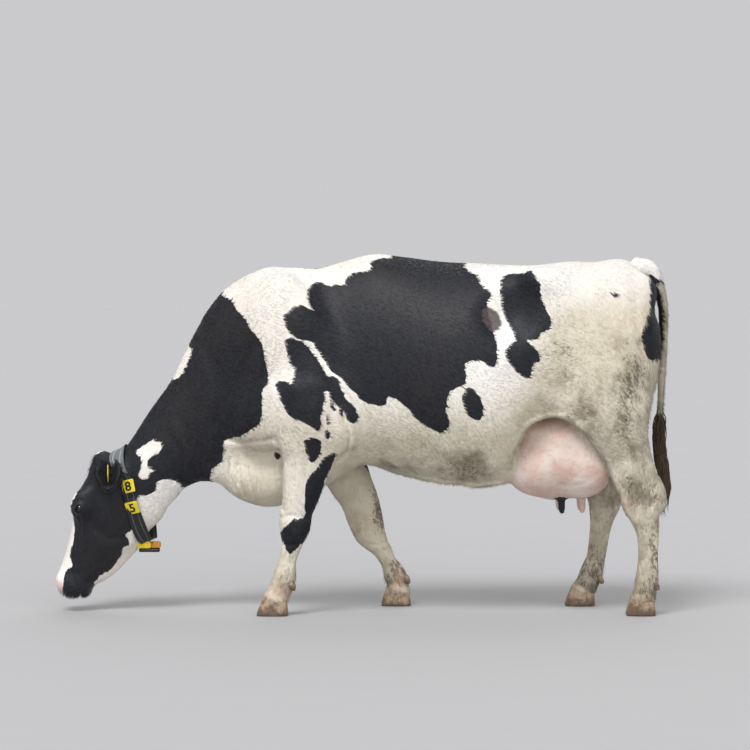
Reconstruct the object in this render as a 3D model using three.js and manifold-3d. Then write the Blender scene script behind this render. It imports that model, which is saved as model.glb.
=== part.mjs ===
// A Holstein-Friesian dairy cow, life size, grazing in mid stride with her muzzle just over the grass.
// Millimetres. +X runs from the head to the tail, her left side faces -Y, +Z is up and the floor is z = 0.
//
// Her hide is one smooth body of clay: lofts, limbs and lumps pressed together with soft edges. It is
// meshed a region at a time and parted by thin cuts into head, neck, trunk, udder and legs.
import * as THREE from 'three';
import { mergeVertices } from 'three/addons/utils/BufferGeometryUtils.js';
import Module from 'manifold-3d';

const wasm = await Module();
wasm.setup();

// ---------------------------------------------------------------- driving sizes
const GAP = 0.35;               // left between two pieces that touch
const REACH = 140;              // how far from a form its soft edge is worked out
const FAR = 1000;               // the distance given to every point beyond that
const FLATNESS = 0.035;         // how far a flat stretch may leave the surface, in grid spacings
const GRID = { head: 32, neck: 62, trunk: 80, udder: 58, leg: 35 };   // spacing of each region's mesh
const CRUMB = 0.1;              // edges shorter than this, left by a cut, are closed up

const POLL = [-1110, 0, 651];                  // top of the skull, between the ears
const FACE_DOWN = [-0.265, 0, -0.964];         // from the poll to the muzzle
const FACE_FRONT = [-0.964, 0, 0.265];         // out of the forehead
const NECK_ROOT = [-1000, 0, 500];             // inside the neck, behind the jaw
const NECK_ALONG = [0.7495, 0, 0.662];         // from there to the withers

const EYE = { down: 226, front: 6, radius: 20, bulge: 6 };
const EAR = { down: -8, front: -46, length: 205, width: 104, thickness: 7, cup: 18, sunk: 14 };
const EAR_LINE = [0.06, 0.78, -0.62];         // from the root to the tip, away from the head
const EAR_LEAF = [[0, 0.34], [0.12, 0.46], [0.35, 0.92], [0.5, 1], [0.68, 0.88], [0.85, 0.55], [1, 0.10]];
const FOOT_Y = 185;                            // of the fore feet, from the middle plane
const HIND_FOOT_Y = 180;
const COLLAR = { top: [-990, 0, 690], bottom: [-897, 0, 285], yaw: 0.27, width: 50, thickness: 5,
  clearance: 4, slack: 194 };
const SLEEVE = { from: 1.64, to: 2.29, inside: 3, outside: 9 };   // turns round the strap, then lifts
const PLATE = { size: 54, thickness: 6, heights: [43, -41] };     // heights over the collar's middle
const EAR_TAG = { width: 50, height: 66, thickness: 3, down: 0.67 };

// Half width, topline, underline and widest height along the trunk, then how square it is above the
// widest line and below it. Each row is [x, value].
const TRUNK = {
  halfWidth: [[-560, 100], [-470, 145], [-380, 180], [-270, 215], [-120, 246], [50, 290], [240, 341],
    [400, 367], [530, 362], [660, 340], [800, 312], [950, 281], [1080, 242], [1190, 170]],
  top: [[-560, 1360], [-477, 1383], [-402, 1417], [-315, 1431], [-181, 1432], [-102, 1454], [44, 1489],
    [148, 1479], [315, 1458], [481, 1450], [702, 1442], [865, 1458], [956, 1456], [1040, 1468],
    [1115, 1466], [1190, 1420]],
  bottom: [[-560, 800], [-477, 720], [-380, 660], [-270, 580], [-170, 545], [6, 608], [123, 575],
    [240, 546], [394, 527], [523, 521], [585, 540], [700, 610], [850, 700], [1000, 780], [1190, 900]],
  waist: [[-560, 1000], [-270, 950], [240, 900], [530, 920], [800, 1100], [1190, 1200]],
  squareTop: [[-560, 2.0], [-300, 1.75], [100, 1.9], [500, 2.3], [740, 3.3], [900, 2.9], [1100, 2.6],
    [1190, 2.2]],
  squareLow: [[-560, 2.0], [1190, 2.1]],
};
// The same rows along the neck, measured from NECK_ROOT, and down the face, measured from POLL.
const NECK = {
  halfWidth: [[-100, 70], [0, 78], [130, 85], [300, 92], [450, 108], [600, 130], [750, 155], [900, 185],
    [1050, 210]],
  top: [[-100, 90], [0, 115], [130, 137], [310, 186], [450, 219], [600, 281], [685, 313], [748, 335],
    [850, 345], [940, 328], [1050, 285]],
  bottom: [[-100, -190], [-60, -190], [30, -190], [95, -170], [145, -165], [190, -158], [246, -172],
    [295, -198], [430, -243], [550, -300], [800, -360], [1050, -380]],
  waist: [[-100, -50], [300, 0], [1050, 0]],
  squareTop: [[-100, 2.0], [300, 1.7], [1050, 1.7]],
  squareLow: [[-100, 2.0], [1050, 2.0]],
};
const HEAD = {
  halfWidth: [[0, 78], [50, 92], [120, 100], [200, 104], [260, 94], [330, 80], [420, 66], [500, 64],
    [550, 66], [600, 52]],
  top: [[0, 0], [71, 24], [116, 29], [174, 43], [224, 46], [280, 36], [332, 30], [462, 29], [515, 35],
    [550, 36], [580, 22], [600, -5]],
  bottom: [[0, -100], [120, -160], [200, -220], [270, -255], [330, -260], [394, -235], [450, -205],
    [500, -165], [530, -130], [570, -100], [600, -70]],
  waist: [[0, -50], [200, -40], [330, -60], [450, -60], [600, -30]],
  squareTop: [[0, 2.2], [200, 2.6], [330, 2.2], [600, 2.4]],
  squareLow: [[0, 2.0], [200, 1.8], [330, 1.6], [500, 1.8], [600, 2.2]],
};

// Limbs: each row is [x, y, z, half depth, half width] of a section across the limb's own line.
const DEWLAP = [[-620, 0, 600, 45, 45], [-560, 0, 585, 75, 65], [-480, 0, 555, 100, 85],
  [-400, 0, 545, 112, 95], [-310, 0, 570, 110, 110], [-200, 0, 640, 100, 120]];
const TAIL = [[1130, 0, 1430, 45, 50], [1182, 0, 1426, 38, 36], [1217, 0, 1365, 31, 28],
  [1238, 0, 1297, 23, 22], [1244, 0, 1172, 19, 19], [1240, 0, 1047, 16, 16], [1234, 0, 897, 14, 14],
  [1228, 0, 759, 13, 13], [1229, 0, 700, 13, 13]];
const SWITCH = [[1229, 0, 699.3, 13, 13], [1240, 0, 672, 25, 24], [1250, 0, 588, 35, 30],
  [1265, 0, 505, 22, 20], [1259, 0, 436, 9, 9]];

// Each leg: its line, where its prism parts it from the trunk (in the side plane), and its foot.
// The foot's coronet is [x, z]; toe and heel are where the sole ends.
const LEGS = {
  fore_left: {
    side: -1,
    line: [[-235, -200, 920, 150, 70], [-228, -205, 800, 148, 75], [-228, -200, 735, 137, 70],
      [-233, -195, 634, 107, 60], [-251, -190, 560, 93, 54], [-268, -187, 486, 81, 50],
      [-280, -185, 433, 71, 46], [-287, -185, 351, 63, 50], [-300, -185, 287, 43, 38],
      [-314, -185, 232, 37, 30], [-329, -185, 160, 46, 38], [-347, -185, 110, 46, 37],
      [-366, -185, 68, 52, 46]],
    parting: [[-500, -50], [-500, 580], [-340, 690], [-75, 700], [-110, 590], [-150, 520], [-150, -50]],
    inside: 112,
    foot: { y: -FOOT_Y, coronet: [-366, 64], toe: -446, heel: -312, dewclaw: [-296, 122] },
  },
  fore_right: {
    side: 1,
    line: [[-200, 200, 920, 150, 70], [-170, 205, 800, 145, 75], [-135, 200, 700, 130, 70],
      [-95, 195, 600, 107, 60], [-60, 190, 521, 93, 54], [-26, 187, 457, 83, 50], [1, 185, 373, 77, 48],
      [22, 185, 310, 68, 52], [72, 185, 240, 43, 38], [101, 185, 186, 36, 30], [126, 185, 135, 48, 38],
      [138, 185, 95, 47, 37], [142, 185, 62, 52, 46]],
    parting: [[-300, 700], [20, 700], [50, 590], [120, 430], [280, 300], [280, -50], [-50, -50],
      [-150, 450], [-280, 560]],
    inside: 112,
    foot: { y: FOOT_Y, coronet: [142, 60], toe: 68, heel: 198, dewclaw: [180, 112] },
  },
  hind_left: {
    side: -1,
    line: [[990, -150, 1160, 190, 110], [990, -170, 1020, 190, 125], [1003, -185, 888, 165, 115],
      [1036, -190, 767, 137, 100], [1066, -190, 692, 109, 85], [1107, -185, 577, 94, 65],
      [1141, -180, 470, 87, 50], [1152, -180, 413, 66, 47], [1165, -180, 350, 50, 35],
      [1168, -180, 261, 42, 30], [1163, -180, 155, 47, 38], [1155, -180, 105, 47, 37],
      [1146, -180, 66, 52, 46]],
    parting: [[845, 790], [935, 700], [985, 630], [1035, 520], [1020, 400], [1020, -50], [1350, -50],
      [1350, 790]],
    inside: 60,
    foot: { y: -HIND_FOOT_Y, coronet: [1146, 62], toe: 1074, heel: 1200, dewclaw: [1200, 124] },
  },
  hind_right: {
    side: 1,
    line: [[960, 150, 1160, 190, 110], [945, 170, 1020, 190, 125], [930, 185, 900, 175, 115],
      [925, 190, 770, 145, 100], [945, 190, 692, 115, 85], [980, 185, 600, 95, 65],
      [1018, 180, 500, 85, 50], [1020, 180, 440, 70, 47], [1006, 180, 370, 52, 35],
      [993, 180, 285, 43, 31], [981, 180, 210, 42, 31], [960, 180, 140, 48, 38], [942, 180, 98, 47, 37],
      [926, 180, 64, 53, 46]],
    parting: [[790, 790], [850, 690], [900, 560], [780, 420], [780, -50], [1350, -50], [1350, 790]],
    inside: 60,
    foot: { y: HIND_FOOT_Y, coronet: [926, 60], toe: 846, heel: 976, dewclaw: [1000, 112] },
  },
};

// Lumps pressed on to both sides: [x, y, z] of the left one's mirror, radii, pitch in degrees, soft edge.
const SHOULDER_LUMPS = [
  { name: 'shoulder blade', at: [-290, 135, 1060], radii: [140, 85, 330], pitch: -14, edge: 120 },
  { name: 'triceps', at: [-200, 185, 860], radii: [170, 80, 160], pitch: 30, edge: 90 },
  { name: 'point of the shoulder', at: [-430, 130, 820], radii: [90, 70, 120], pitch: 0, edge: 100 },
];
const RUMP_LUMPS = [
  { name: 'hook bone', at: [735, 245, 1375], radii: [70, 36, 38], pitch: 0, edge: 100 },
  { name: 'thurl', at: [980, 195, 1120], radii: [200, 85, 220], pitch: 15, edge: 100 },
  { name: 'pin bone', at: [1150, 125, 1335], radii: [45, 45, 50], pitch: 0, edge: 90 },
  { name: 'buttock', at: [1100, 140, 1050], radii: [95, 100, 240], pitch: 0, edge: 80 },
];
const FLANK_HOLLOW = { at: [600, 362, 1270], radii: [100, 100, 110], pitch: 20, edge: 100 };
// Joints of one leg each.
const ELBOWS = { centres: [[-95, -225, 765], [-30, 225, 765]], radii: [50, 50, 75], pitch: 0, edge: 60 };
const STIFLES = { centres: [[945, -205, 870], [865, 205, 870]], radii: [130, 70, 170], pitch: 30,
  edge: 100 };
const HOCKS = { centres: [[1208, -180, 500], [1070, 180, 535]], radii: [30, 28, 65], pitch: -12, edge: 40 };
// Lumps on both sides of the head: how far down the face, out of it and sideways.
const HEAD_LUMPS = [
  { name: 'brow', at: [215, 8, 88], radii: [50, 24, 34], edge: 60 },
  { name: 'cheek', at: [260, -150, 45], radii: [105, 36, 85], edge: 70 },
  { name: 'nasal ridge', at: [400, -60, 36], radii: [100, 26, 50], edge: 50 },
  { name: 'upper lip', at: [555, -35, 36], radii: [38, 30, 52], edge: 40 },
  { name: 'ear base', at: [45, -65, 75], radii: [30, 28, 30], edge: 50 },
];
const POLL_LUMP = { at: [12, -20, 0], radii: [30, 55, 35], edge: 50 };
const CHIN_LUMP = { at: [550, -105, 0], radii: [36, 40, 22], edge: 30 };
const UDDER_LUMPS = [
  { at: [800, 0, 640], radii: [205, 232, 180], pitch: 0, edge: 30 },
  { at: [910, 105, 615], radii: [120, 120, 135], pitch: 0, edge: 50 },
  { at: [910, -105, 615], radii: [120, 120, 135], pitch: 0, edge: 50 },
  { at: [705, 112, 603], radii: [120, 112, 112], pitch: -10, edge: 50 },
  { at: [705, -112, 603], radii: [120, 112, 112], pitch: -10, edge: 50 },
];
const TEATS = { fore: [800, 85], rear: [905, 60] };
const TEAT_TIP = 412;
const TEAT_PROFILE = [[0, 0], [9, 2], [13, 9], [15, 24], [17, 50], [20, 80], [0, 80]];   // radius, height
const CLAW = { levels: [0, 0.18, 0.6, 1], widths: [44, 47, 45, 41], apart: 1.5, sides: 14,
  toeBack: 50, heelBack: 48, squareness: 0.7, toeTaper: 0.28 };
const DEWCLAW = { radii: [15, 14, 21], apart: 23 };

// ---------------------------------------------------------------- sums with points
const add = (a, b) => a.map((c, i) => c + b[i]);
const times = (a, k) => a.map((c) => c * k);
const minus = (a, b) => a.map((c, i) => c - b[i]);
const dot = (a, b) => a[0] * b[0] + a[1] * b[1] + a[2] * b[2];
const cross = (a, b) => [a[1] * b[2] - a[2] * b[1], a[2] * b[0] - a[0] * b[2], a[0] * b[1] - a[1] * b[0]];
const unit = (a) => times(a, 1 / Math.hypot(...a));
const clamp = (value, low, high) => Math.min(Math.max(value, low), high);
const mirrored = ([x, y, z]) => [x, -y, z];
const bothSides = (at) => [at, mirrored(at)];

// A place on the head: how far down the face from the poll, how far out of it, and how far sideways.
const onHead = ([down, front, y]) =>
  add(add(POLL, times(FACE_DOWN, down)), add(times(FACE_FRONT, front), [0, y, 0]));

// A smooth line through rows of [place, values...], read at any place; it bends only as its rows do.
function smoothRows(rows) {
  const last = rows.length - 1;
  const rises = rows.slice(1).map((row, i) =>
    row.map((value, c) => (value - rows[i][c]) / (row[0] - rows[i][0])));
  const slopes = rows.map((row, i) => {
    if (i === 0) return rises[0];
    if (i === last) return rises[last - 1];
    const before = row[0] - rows[i - 1][0];
    const after = rows[i + 1][0] - row[0];
    return row.map((_, c) => (rises[i - 1][c] * after + rises[i][c] * before) / (before + after));
  });
  return (place, column = 1) => {
    const at = clamp(place, rows[0][0], rows[last][0]);
    let i = 0;
    while (i < last - 1 && at >= rows[i + 1][0]) i += 1;
    const step = rows[i + 1][0] - rows[i][0];
    const t = (at - rows[i][0]) / step;
    const [from, to] = [rows[i][column], rows[i + 1][column]];
    const [leaving, arriving] = [step * slopes[i][column], step * slopes[i + 1][column]];
    return (2 * t ** 3 - 3 * t ** 2 + 1) * from + (t ** 3 - 2 * t ** 2 + t) * leaving
      + (-2 * t ** 3 + 3 * t ** 2) * to + (t ** 3 - t ** 2) * arriving;
  };
}

// Two distances joined, or the greater taken, with a soft edge of the given width.
function softMin(a, b, edge) {
  const near = Math.max(edge - Math.abs(a - b), 0) / edge;
  return Math.min(a, b) - near * near * edge * 0.25;
}
const softMax = (a, b, edge) => -softMin(-a, -b, edge);

// ---------------------------------------------------------------- the forms
// Each form gives the distance from a point to its surface, less than nothing inside, and its box.

// A body whose rounded section changes along a straight line.
class Loft {
  constructor(origin, along, up, rows, roundEnd) {
    Object.assign(this, { origin, roundEnd, along: unit(along), up: unit(up) });
    this.side = cross(this.up, this.along);
    this.rows = Object.fromEntries(Object.entries(rows).map(([key, value]) => [key, smoothRows(value)]));
    this.start = rows.halfWidth[0][0];
    this.end = rows.halfWidth.at(-1)[0];
    const corners = [];
    for (let i = 0; i <= 40; i += 1) {
      const x = this.start + (this.end - this.start) * i / 40;
      for (const height of [this.rows.top(x), this.rows.bottom(x)]) {
        for (const way of [-1, 1]) corners.push(this.place(x, way * this.rows.halfWidth(x), height));
      }
    }
    this.low = [0, 1, 2].map((c) => Math.min(...corners.map((p) => p[c])));
    this.high = [0, 1, 2].map((c) => Math.max(...corners.map((p) => p[c])));
  }

  place(x, y, z) {
    return add(add(this.origin, times(this.along, x)), add(times(this.side, y), times(this.up, z)));
  }

  // How far out a point is in its own section, 1 on the surface, with what that is made of.
  section(x, y, z) {
    const waist = this.rows.waist(x);
    const halfWidth = this.rows.halfWidth(x);
    const rise = z - waist;
    const height = rise > 0 ? this.rows.top(x) - waist : waist - this.rows.bottom(x);
    const square = rise > 0 ? this.rows.squareTop(x) : this.rows.squareLow(x);
    const across = Math.abs(y) / halfWidth;
    const upward = Math.abs(rise) / height;
    const out = (across ** square + upward ** square + 1e-9) ** (1 / square);
    return { out, halfWidth, height, square, across, upward };
  }

  distance(point) {
    const from = minus(point, this.origin);
    const x = dot(from, this.along);
    const y = dot(from, this.side);
    const z = dot(from, this.up);
    const at = clamp(x, this.start, this.end);
    const { out, halfWidth, height, square, across, upward } = this.section(at, y, z);
    const slopeY = across ** (square - 1) / halfWidth * out ** (1 - square);
    const slopeZ = upward ** (square - 1) / height * out ** (1 - square);
    const ahead = this.section(clamp(at + 10, this.start, this.end), y, z).out;
    const behind = this.section(clamp(at - 10, this.start, this.end), y, z).out;
    const slopeX = (ahead - behind) / 20;
    const distance = (out - 1) / Math.sqrt(0.6 * slopeX ** 2 + slopeY ** 2 + slopeZ ** 2 + 1e-12);
    return softMax(distance, Math.max(this.start - x, x - this.end), this.roundEnd);
  }
}

// A limb: sections across a smooth line through its stations.
class Limb {
  constructor(stations, steps = 4, cap = 0.6) {
    const lengths = [0];
    for (let i = 1; i < stations.length; i += 1) {
      lengths.push(lengths[i - 1] + Math.hypot(...minus(stations[i], stations[i - 1]).slice(0, 3)));
    }
    const line = smoothRows(stations.map((station, i) => [lengths[i], ...station]));
    this.cap = cap;
    this.sections = [];
    for (let i = 0; i + 1 < stations.length; i += 1) {
      for (let k = 0; k < steps; k += 1) {
        const place = lengths[i] + (lengths[i + 1] - lengths[i]) * k / steps;
        this.sections.push([1, 2, 3, 4, 5].map((c) => line(place, c)));
      }
    }
    this.sections.push([...stations.at(-1)]);
    this.low = [0, 1, 2].map((c) => Math.min(...this.sections.map((s) => s[c] - Math.max(s[3], s[4]))));
    this.high = [0, 1, 2].map((c) => Math.max(...this.sections.map((s) => s[c] + Math.max(s[3], s[4]))));
    this.frames = this.sections.slice(0, -1).map((s, i) => {
      const step = minus(this.sections[i + 1], s).slice(0, 3);
      const along = unit(step);
      const across = unit(minus([0, 1, 0], times(along, along[1])));
      return { length: Math.hypot(...step), along, across, deep: cross(across, along) };
    });
  }

  distance(point) {
    let best = FAR;
    this.frames.forEach(({ length, along, across, deep }, i) => {
      const s = this.sections[i];
      const e = this.sections[i + 1];
      const from = [point[0] - s[0], point[1] - s[1], point[2] - s[2]];
      const run = dot(from, along);
      const t = clamp(run / length, 0, 1);
      const halfDepth = s[3] + (e[3] - s[3]) * t;
      const halfWidth = s[4] + (e[4] - s[4]) * t;
      const x = dot(from, deep);
      const y = dot(from, across);
      const over = run - t * length;
      const halfCap = Math.min(halfDepth, halfWidth) * this.cap;
      best = Math.min(best, roundDistance([x, y, over], [halfDepth, halfWidth, halfCap]));
    });
    return best;
  }
}

// The distance to a round body of three half sizes, close to true near its surface.
function roundDistance([x, y, z], [a, b, c]) {
  const out = Math.sqrt((x / a) ** 2 + (y / b) ** 2 + (z / c) ** 2 + 1e-9);
  const slope = Math.sqrt((x / a ** 2) ** 2 + (y / b ** 2) ** 2 + (z / c ** 2) ** 2 + 1e-15);
  return out * (out - 1) / slope;
}

// A lump: a round body turned to its own three axes.
class Lump {
  constructor(centre, radii, axes) {
    Object.assign(this, { centre, radii, axes });
    const half = [0, 1, 2].map((c) => axes.reduce((sum, axis, i) => sum + Math.abs(axis[c]) * radii[i], 0));
    this.low = minus(centre, half);
    this.high = add(centre, half);
  }

  distance(point) {
    const from = minus(point, this.centre);
    return roundDistance(this.axes.map((axis) => dot(from, axis)), this.radii);
  }
}

// A lump tipped nose down by pitch degrees about the animal's cross axis.
function pitched(centre, radii, pitch) {
  const turn = pitch * Math.PI / 180;
  return new Lump(centre, radii,
    [[Math.cos(turn), 0, -Math.sin(turn)], [0, 1, 0], [Math.sin(turn), 0, Math.cos(turn)]]);
}

const headLump = (at, radii) => new Lump(onHead(at), radii, [FACE_DOWN, [0, 1, 0], FACE_FRONT]);

// Forms pressed together or cut out one after another, each with its own soft edge.
class Clay {
  constructor() {
    this.steps = [];
  }

  add(form, edge) {
    this.steps.push({ form, edge, way: 1 });
    return this;
  }

  cut(form, edge) {
    this.steps.push({ form, edge, way: -1 });
    return this;
  }

  distance(point) {
    let distance = FAR;
    for (const { form, edge, way } of this.steps) {
      const near = [0, 1, 2].every((c) =>
        point[c] > form.low[c] - REACH && point[c] < form.high[c] + REACH);
      if (near) {
        const to = form.distance(point);
        distance = way > 0 ? softMin(distance, to, edge) : softMax(distance, -to, edge);
      }
    }
    return distance;
  }
}

// ---------------------------------------------------------------- the animal as clay
function cowClay() {
  const clay = new Clay()
    .add(new Loft([0, 0, 0], [1, 0, 0], [0, 0, 1], TRUNK, 160), 10)
    .add(new Loft(NECK_ROOT, NECK_ALONG, [-NECK_ALONG[2], 0, NECK_ALONG[0]], NECK, 80), 100)
    .add(new Limb(DEWLAP), 60);
  const pressPairs = (lumps) => lumps.forEach(({ at, radii, pitch, edge }) =>
    bothSides(at).forEach((centre) => clay.add(pitched(centre, radii, pitch), edge)));
  pressPairs(SHOULDER_LUMPS);
  pressPairs(RUMP_LUMPS);
  bothSides(FLANK_HOLLOW.at).forEach((centre) =>
    clay.cut(pitched(centre, FLANK_HOLLOW.radii, FLANK_HOLLOW.pitch), FLANK_HOLLOW.edge));
  clay.add(new Limb(LEGS.fore_left.line), 70).add(new Limb(LEGS.fore_right.line), 70);
  const pressEach = ({ centres, radii, pitch, edge }) =>
    centres.forEach((at) => clay.add(pitched(at, radii, pitch), edge));
  pressEach(ELBOWS);
  clay.add(new Limb(LEGS.hind_left.line), 80).add(new Limb(LEGS.hind_right.line), 80);
  pressEach(STIFLES);
  pressEach(HOCKS);
  UDDER_LUMPS.forEach(({ at, radii, pitch, edge }) => clay.add(pitched(at, radii, pitch), edge));
  clay.add(new Loft(POLL, FACE_DOWN, FACE_FRONT, HEAD, 60), 60);
  HEAD_LUMPS.forEach(({ at: [down, front, y], radii, edge }) =>
    [-y, y].forEach((sideways) => clay.add(headLump([down, front, sideways], radii), edge)));
  [POLL_LUMP, CHIN_LUMP].forEach(({ at, radii, edge }) => clay.add(headLump(at, radii), edge));
  return clay;
}
const COW = cowClay();

// ---------------------------------------------------------------- from clay to a closed mesh
// The surface inside a box, one vertex in each grid cell that it crosses, drawn on to the surface.
function meshInBox(form, low, high, spacing) {
  const boxed = (p) =>
    Math.max(form.distance(p), ...[0, 1, 2].map((c) => Math.max(low[c] - p[c], p[c] - high[c])));
  const lines = [0, 1, 2].map((c) => {
    const count = Math.ceil((high[c] - low[c]) / spacing) + 3;
    return Array.from({ length: count }, (_, i) => low[c] - spacing * 1.03 + i * spacing);
  });
  const [nx, ny, nz] = lines.map((line) => line.length);
  const index = (i, j, k) => (i * ny + j) * nz + k;
  const values = new Float64Array(nx * ny * nz);
  for (let i = 0; i < nx; i += 1) {
    for (let j = 0; j < ny; j += 1) {
      for (let k = 0; k < nz; k += 1) {
        values[index(i, j, k)] = boxed([lines[0][i], lines[1][j], lines[2][k]]);
      }
    }
  }

  const points = [];
  const vertexOf = new Map();
  const corners = [0, 1, 2, 3, 4, 5, 6, 7].map((n) => [n & 1, (n >> 1) & 1, (n >> 2) & 1]);
  const stepped = (corner, c) => corner.map((v, d) => (d === c ? 1 : v));
  const edges = corners.flatMap((a) => [0, 1, 2].filter((c) => !a[c]).map((c) => [a, stepped(a, c)]));
  for (let i = 0; i + 1 < nx; i += 1) {
    for (let j = 0; j + 1 < ny; j += 1) {
      for (let k = 0; k + 1 < nz; k += 1) {
        const value = ([a, b, c]) => values[index(i + a, j + b, k + c)];
        const crossed = edges.filter(([a, b]) => (value(a) < 0) !== (value(b) < 0));
        if (crossed.length) {
          const sum = crossed.map(([a, b]) => {
            const t = value(a) / (value(a) - value(b));
            return a.map((v, c) => v + (b[c] - v) * t);
          }).reduce(add);
          const mean = times(sum, 1 / crossed.length);
          const cell = [i, j, k];
          vertexOf.set(index(i, j, k), points.length);
          points.push(mean.map((v, c) => lines[c][cell[c]] + v * spacing));
        }
      }
    }
  }

  const triangles = [];
  const step = [[1, 0, 0], [0, 1, 0], [0, 0, 1]];
  for (let i = 1; i + 1 < nx; i += 1) {
    for (let j = 1; j + 1 < ny; j += 1) {
      for (let k = 1; k + 1 < nz; k += 1) {
        step.forEach((along, c) => {
          const here = values[index(i, j, k)] < 0;
          const there = values[index(i + along[0], j + along[1], k + along[2])] < 0;
          if (here === there) return;
          const b = step[(c + 1) % 3];
          const d = step[(c + 2) % 3];
          const ring = [add(b, d), d, [0, 0, 0], b]
            .map((back) => vertexOf.get(index(i - back[0], j - back[1], k - back[2])));
          triangles.push(...splitQuad(here ? ring : ring.reverse(), points));
        });
      }
    }
  }
  const drawn = points.map((point) => drawOn(boxed, point, spacing));
  return solidFrom(drawn, triangles).simplify(spacing * FLATNESS);
}

// A quad as two triangles, parted along its shorter diagonal.
function splitQuad([a, b, c, d], points) {
  const span = (p, q) => Math.hypot(...minus(points[p], points[q]));
  return span(a, c) < span(b, d) ? [a, b, c, a, c, d] : [a, b, d, b, c, d];
}

// A point moved on to the surface, by no more than a third of a grid cell.
function drawOn(distance, point, spacing) {
  let moved = point;
  for (let turn = 0; turn < 2; turn += 1) {
    const here = distance(moved);
    const slope = [0, 1, 2].map((c) => distance(moved.map((v, d) => v + (d === c ? 1 : 0))) - here);
    const steepness = dot(slope, slope) + 1e-6;
    moved = minus(moved, times(slope, here / steepness));
  }
  const shift = minus(moved, point);
  const far = Math.hypot(...shift) / (spacing / 3);
  return far > 1 ? add(point, times(shift, 1 / far)) : moved;
}

function solidFrom(points, triangles) {
  return new wasm.Manifold(new wasm.Mesh({
    numProp: 3,
    vertProperties: new Float32Array(points.flat()),
    triVerts: new Uint32Array(triangles),
  }));
}

// ---------------------------------------------------------------- solids, joins and cuts
// A three.js geometry as a solid, with its shared vertices merged and its matrix applied.
function solidOf(geometry, matrix = new THREE.Matrix4()) {
  const bare = geometry.clone().applyMatrix4(matrix);
  bare.deleteAttribute('normal');
  bare.deleteAttribute('uv');
  const merged = mergeVertices(bare, 1e-3);
  return new wasm.Manifold(new wasm.Mesh({
    numProp: 3,
    vertProperties: new Float32Array(merged.attributes.position.array),
    triVerts: new Uint32Array(merged.index.array),
  }));
}

function geometryOf(solid) {
  const { vertProperties, triVerts } = largest(solid).simplify(CRUMB).getMesh();
  const geometry = new THREE.BufferGeometry();
  geometry.setAttribute('position', new THREE.BufferAttribute(new Float32Array(vertProperties), 3));
  geometry.setIndex(new THREE.BufferAttribute(new Uint32Array(triVerts), 1));
  return geometry;
}

// Crumbs that a cut leaves are dropped, and the main body is kept.
const largest = (solid) => solid.decompose().reduce((a, b) => (b.volume() > a.volume() ? b : a));

// A solid a little larger all round, used to cut what touches it and leave the gap.
function grown(solid, by = GAP) {
  const { vertProperties, triVerts } = solid.getMesh();
  const geometry = new THREE.BufferGeometry();
  geometry.setAttribute('position', new THREE.BufferAttribute(new Float32Array(vertProperties), 3));
  geometry.setIndex(new THREE.BufferAttribute(new Uint32Array(triVerts), 1));
  geometry.computeVertexNormals();
  const normals = geometry.attributes.normal.array;
  const moved = vertProperties.map((value, i) => value + normals[i] * by);
  return new wasm.Manifold(new wasm.Mesh({ numProp: 3, vertProperties: moved, triVerts }));
}

// What lies on the side of a plane that its normal points to.
const beyond = (solid, normal, point, gap = GAP / 2) =>
  solid.trimByPlane(unit(normal), dot(unit(normal), point) + gap);
const before = (solid, normal, point) => beyond(solid, times(normal, -1), point);

// A prism on an outline in the side plane, from one y to another.
function sidePrism(outline, from, to) {
  const shape = new THREE.Shape(outline.map(([x, z]) => new THREE.Vector2(x, z)));
  const geometry = new THREE.ExtrudeGeometry(shape, { depth: to - from, bevelEnabled: false });
  return solidOf(geometry, basisOf([1, 0, 0], [0, 0, 1], [0, -1, 0]).setPosition(0, to, 0));
}

// Rings of points, all of one length, closed by a flat face at each end.
function ringsSolid(rings) {
  const count = rings[0].length;
  const points = rings.flat();
  const triangles = [];
  for (let r = 0; r + 1 < rings.length; r += 1) {
    for (let i = 0; i < count; i += 1) {
      const a = r * count + i;
      const b = r * count + (i + 1) % count;
      triangles.push(a, b, b + count, a, b + count, a + count);
    }
  }
  const last = (rings.length - 1) * count;
  for (let i = 1; i + 1 < count; i += 1) triangles.push(0, i + 1, i, last, last + i, last + i + 1);
  const solid = solidFrom(points, triangles);
  return solid.volume() > 0 ? solid : solidFrom(points, triangles.reverse());
}

// A tapering tube through a limb's sections, with a flat face at each end.
function tubeSolid(stations, sides, steps) {
  const { sections, frames } = new Limb(stations, steps);
  return ringsSolid(sections.map((s, i) => {
    const { across, deep } = frames[Math.min(i, frames.length - 1)];
    return Array.from({ length: sides }, (_, n) => {
      const turn = 2 * Math.PI * n / sides;
      const reach = add(times(deep, s[3] * Math.cos(turn)), times(across, s[4] * Math.sin(turn)));
      return add(s.slice(0, 3), reach);
    });
  }));
}

// Three axes, at right angles to each other, as a matrix.
const basisOf = (...axes) =>
  new THREE.Matrix4().makeBasis(...axes.map((axis) => new THREE.Vector3(...axis)));

// ---------------------------------------------------------------- materials
const paint = (color, roughness = 0.8, metalness = 0) =>
  new THREE.MeshStandardMaterial({ color, roughness, metalness });
const WHITE_COAT = paint('#e6e0d2');
const BLACK_COAT = paint('#17181c');
const PINK_SKIN = paint('#d9b3a6', 0.6);
const HOOF = paint('#8a6f5c', 0.5);
const EYEBALL = paint('#0d0b0a', 0.1);
const TAIL_HAIR = paint('#4c4136');
const WEBBING = paint('#14161a');
const GREY_WEBBING = paint('#8d9196', 0.6);
const YELLOW = paint('#f2dc2a', 0.45);
const ORANGE = paint('#c98a24', 0.5);
const BLACK_PLASTIC = paint('#1b1c1e', 0.5);

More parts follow.
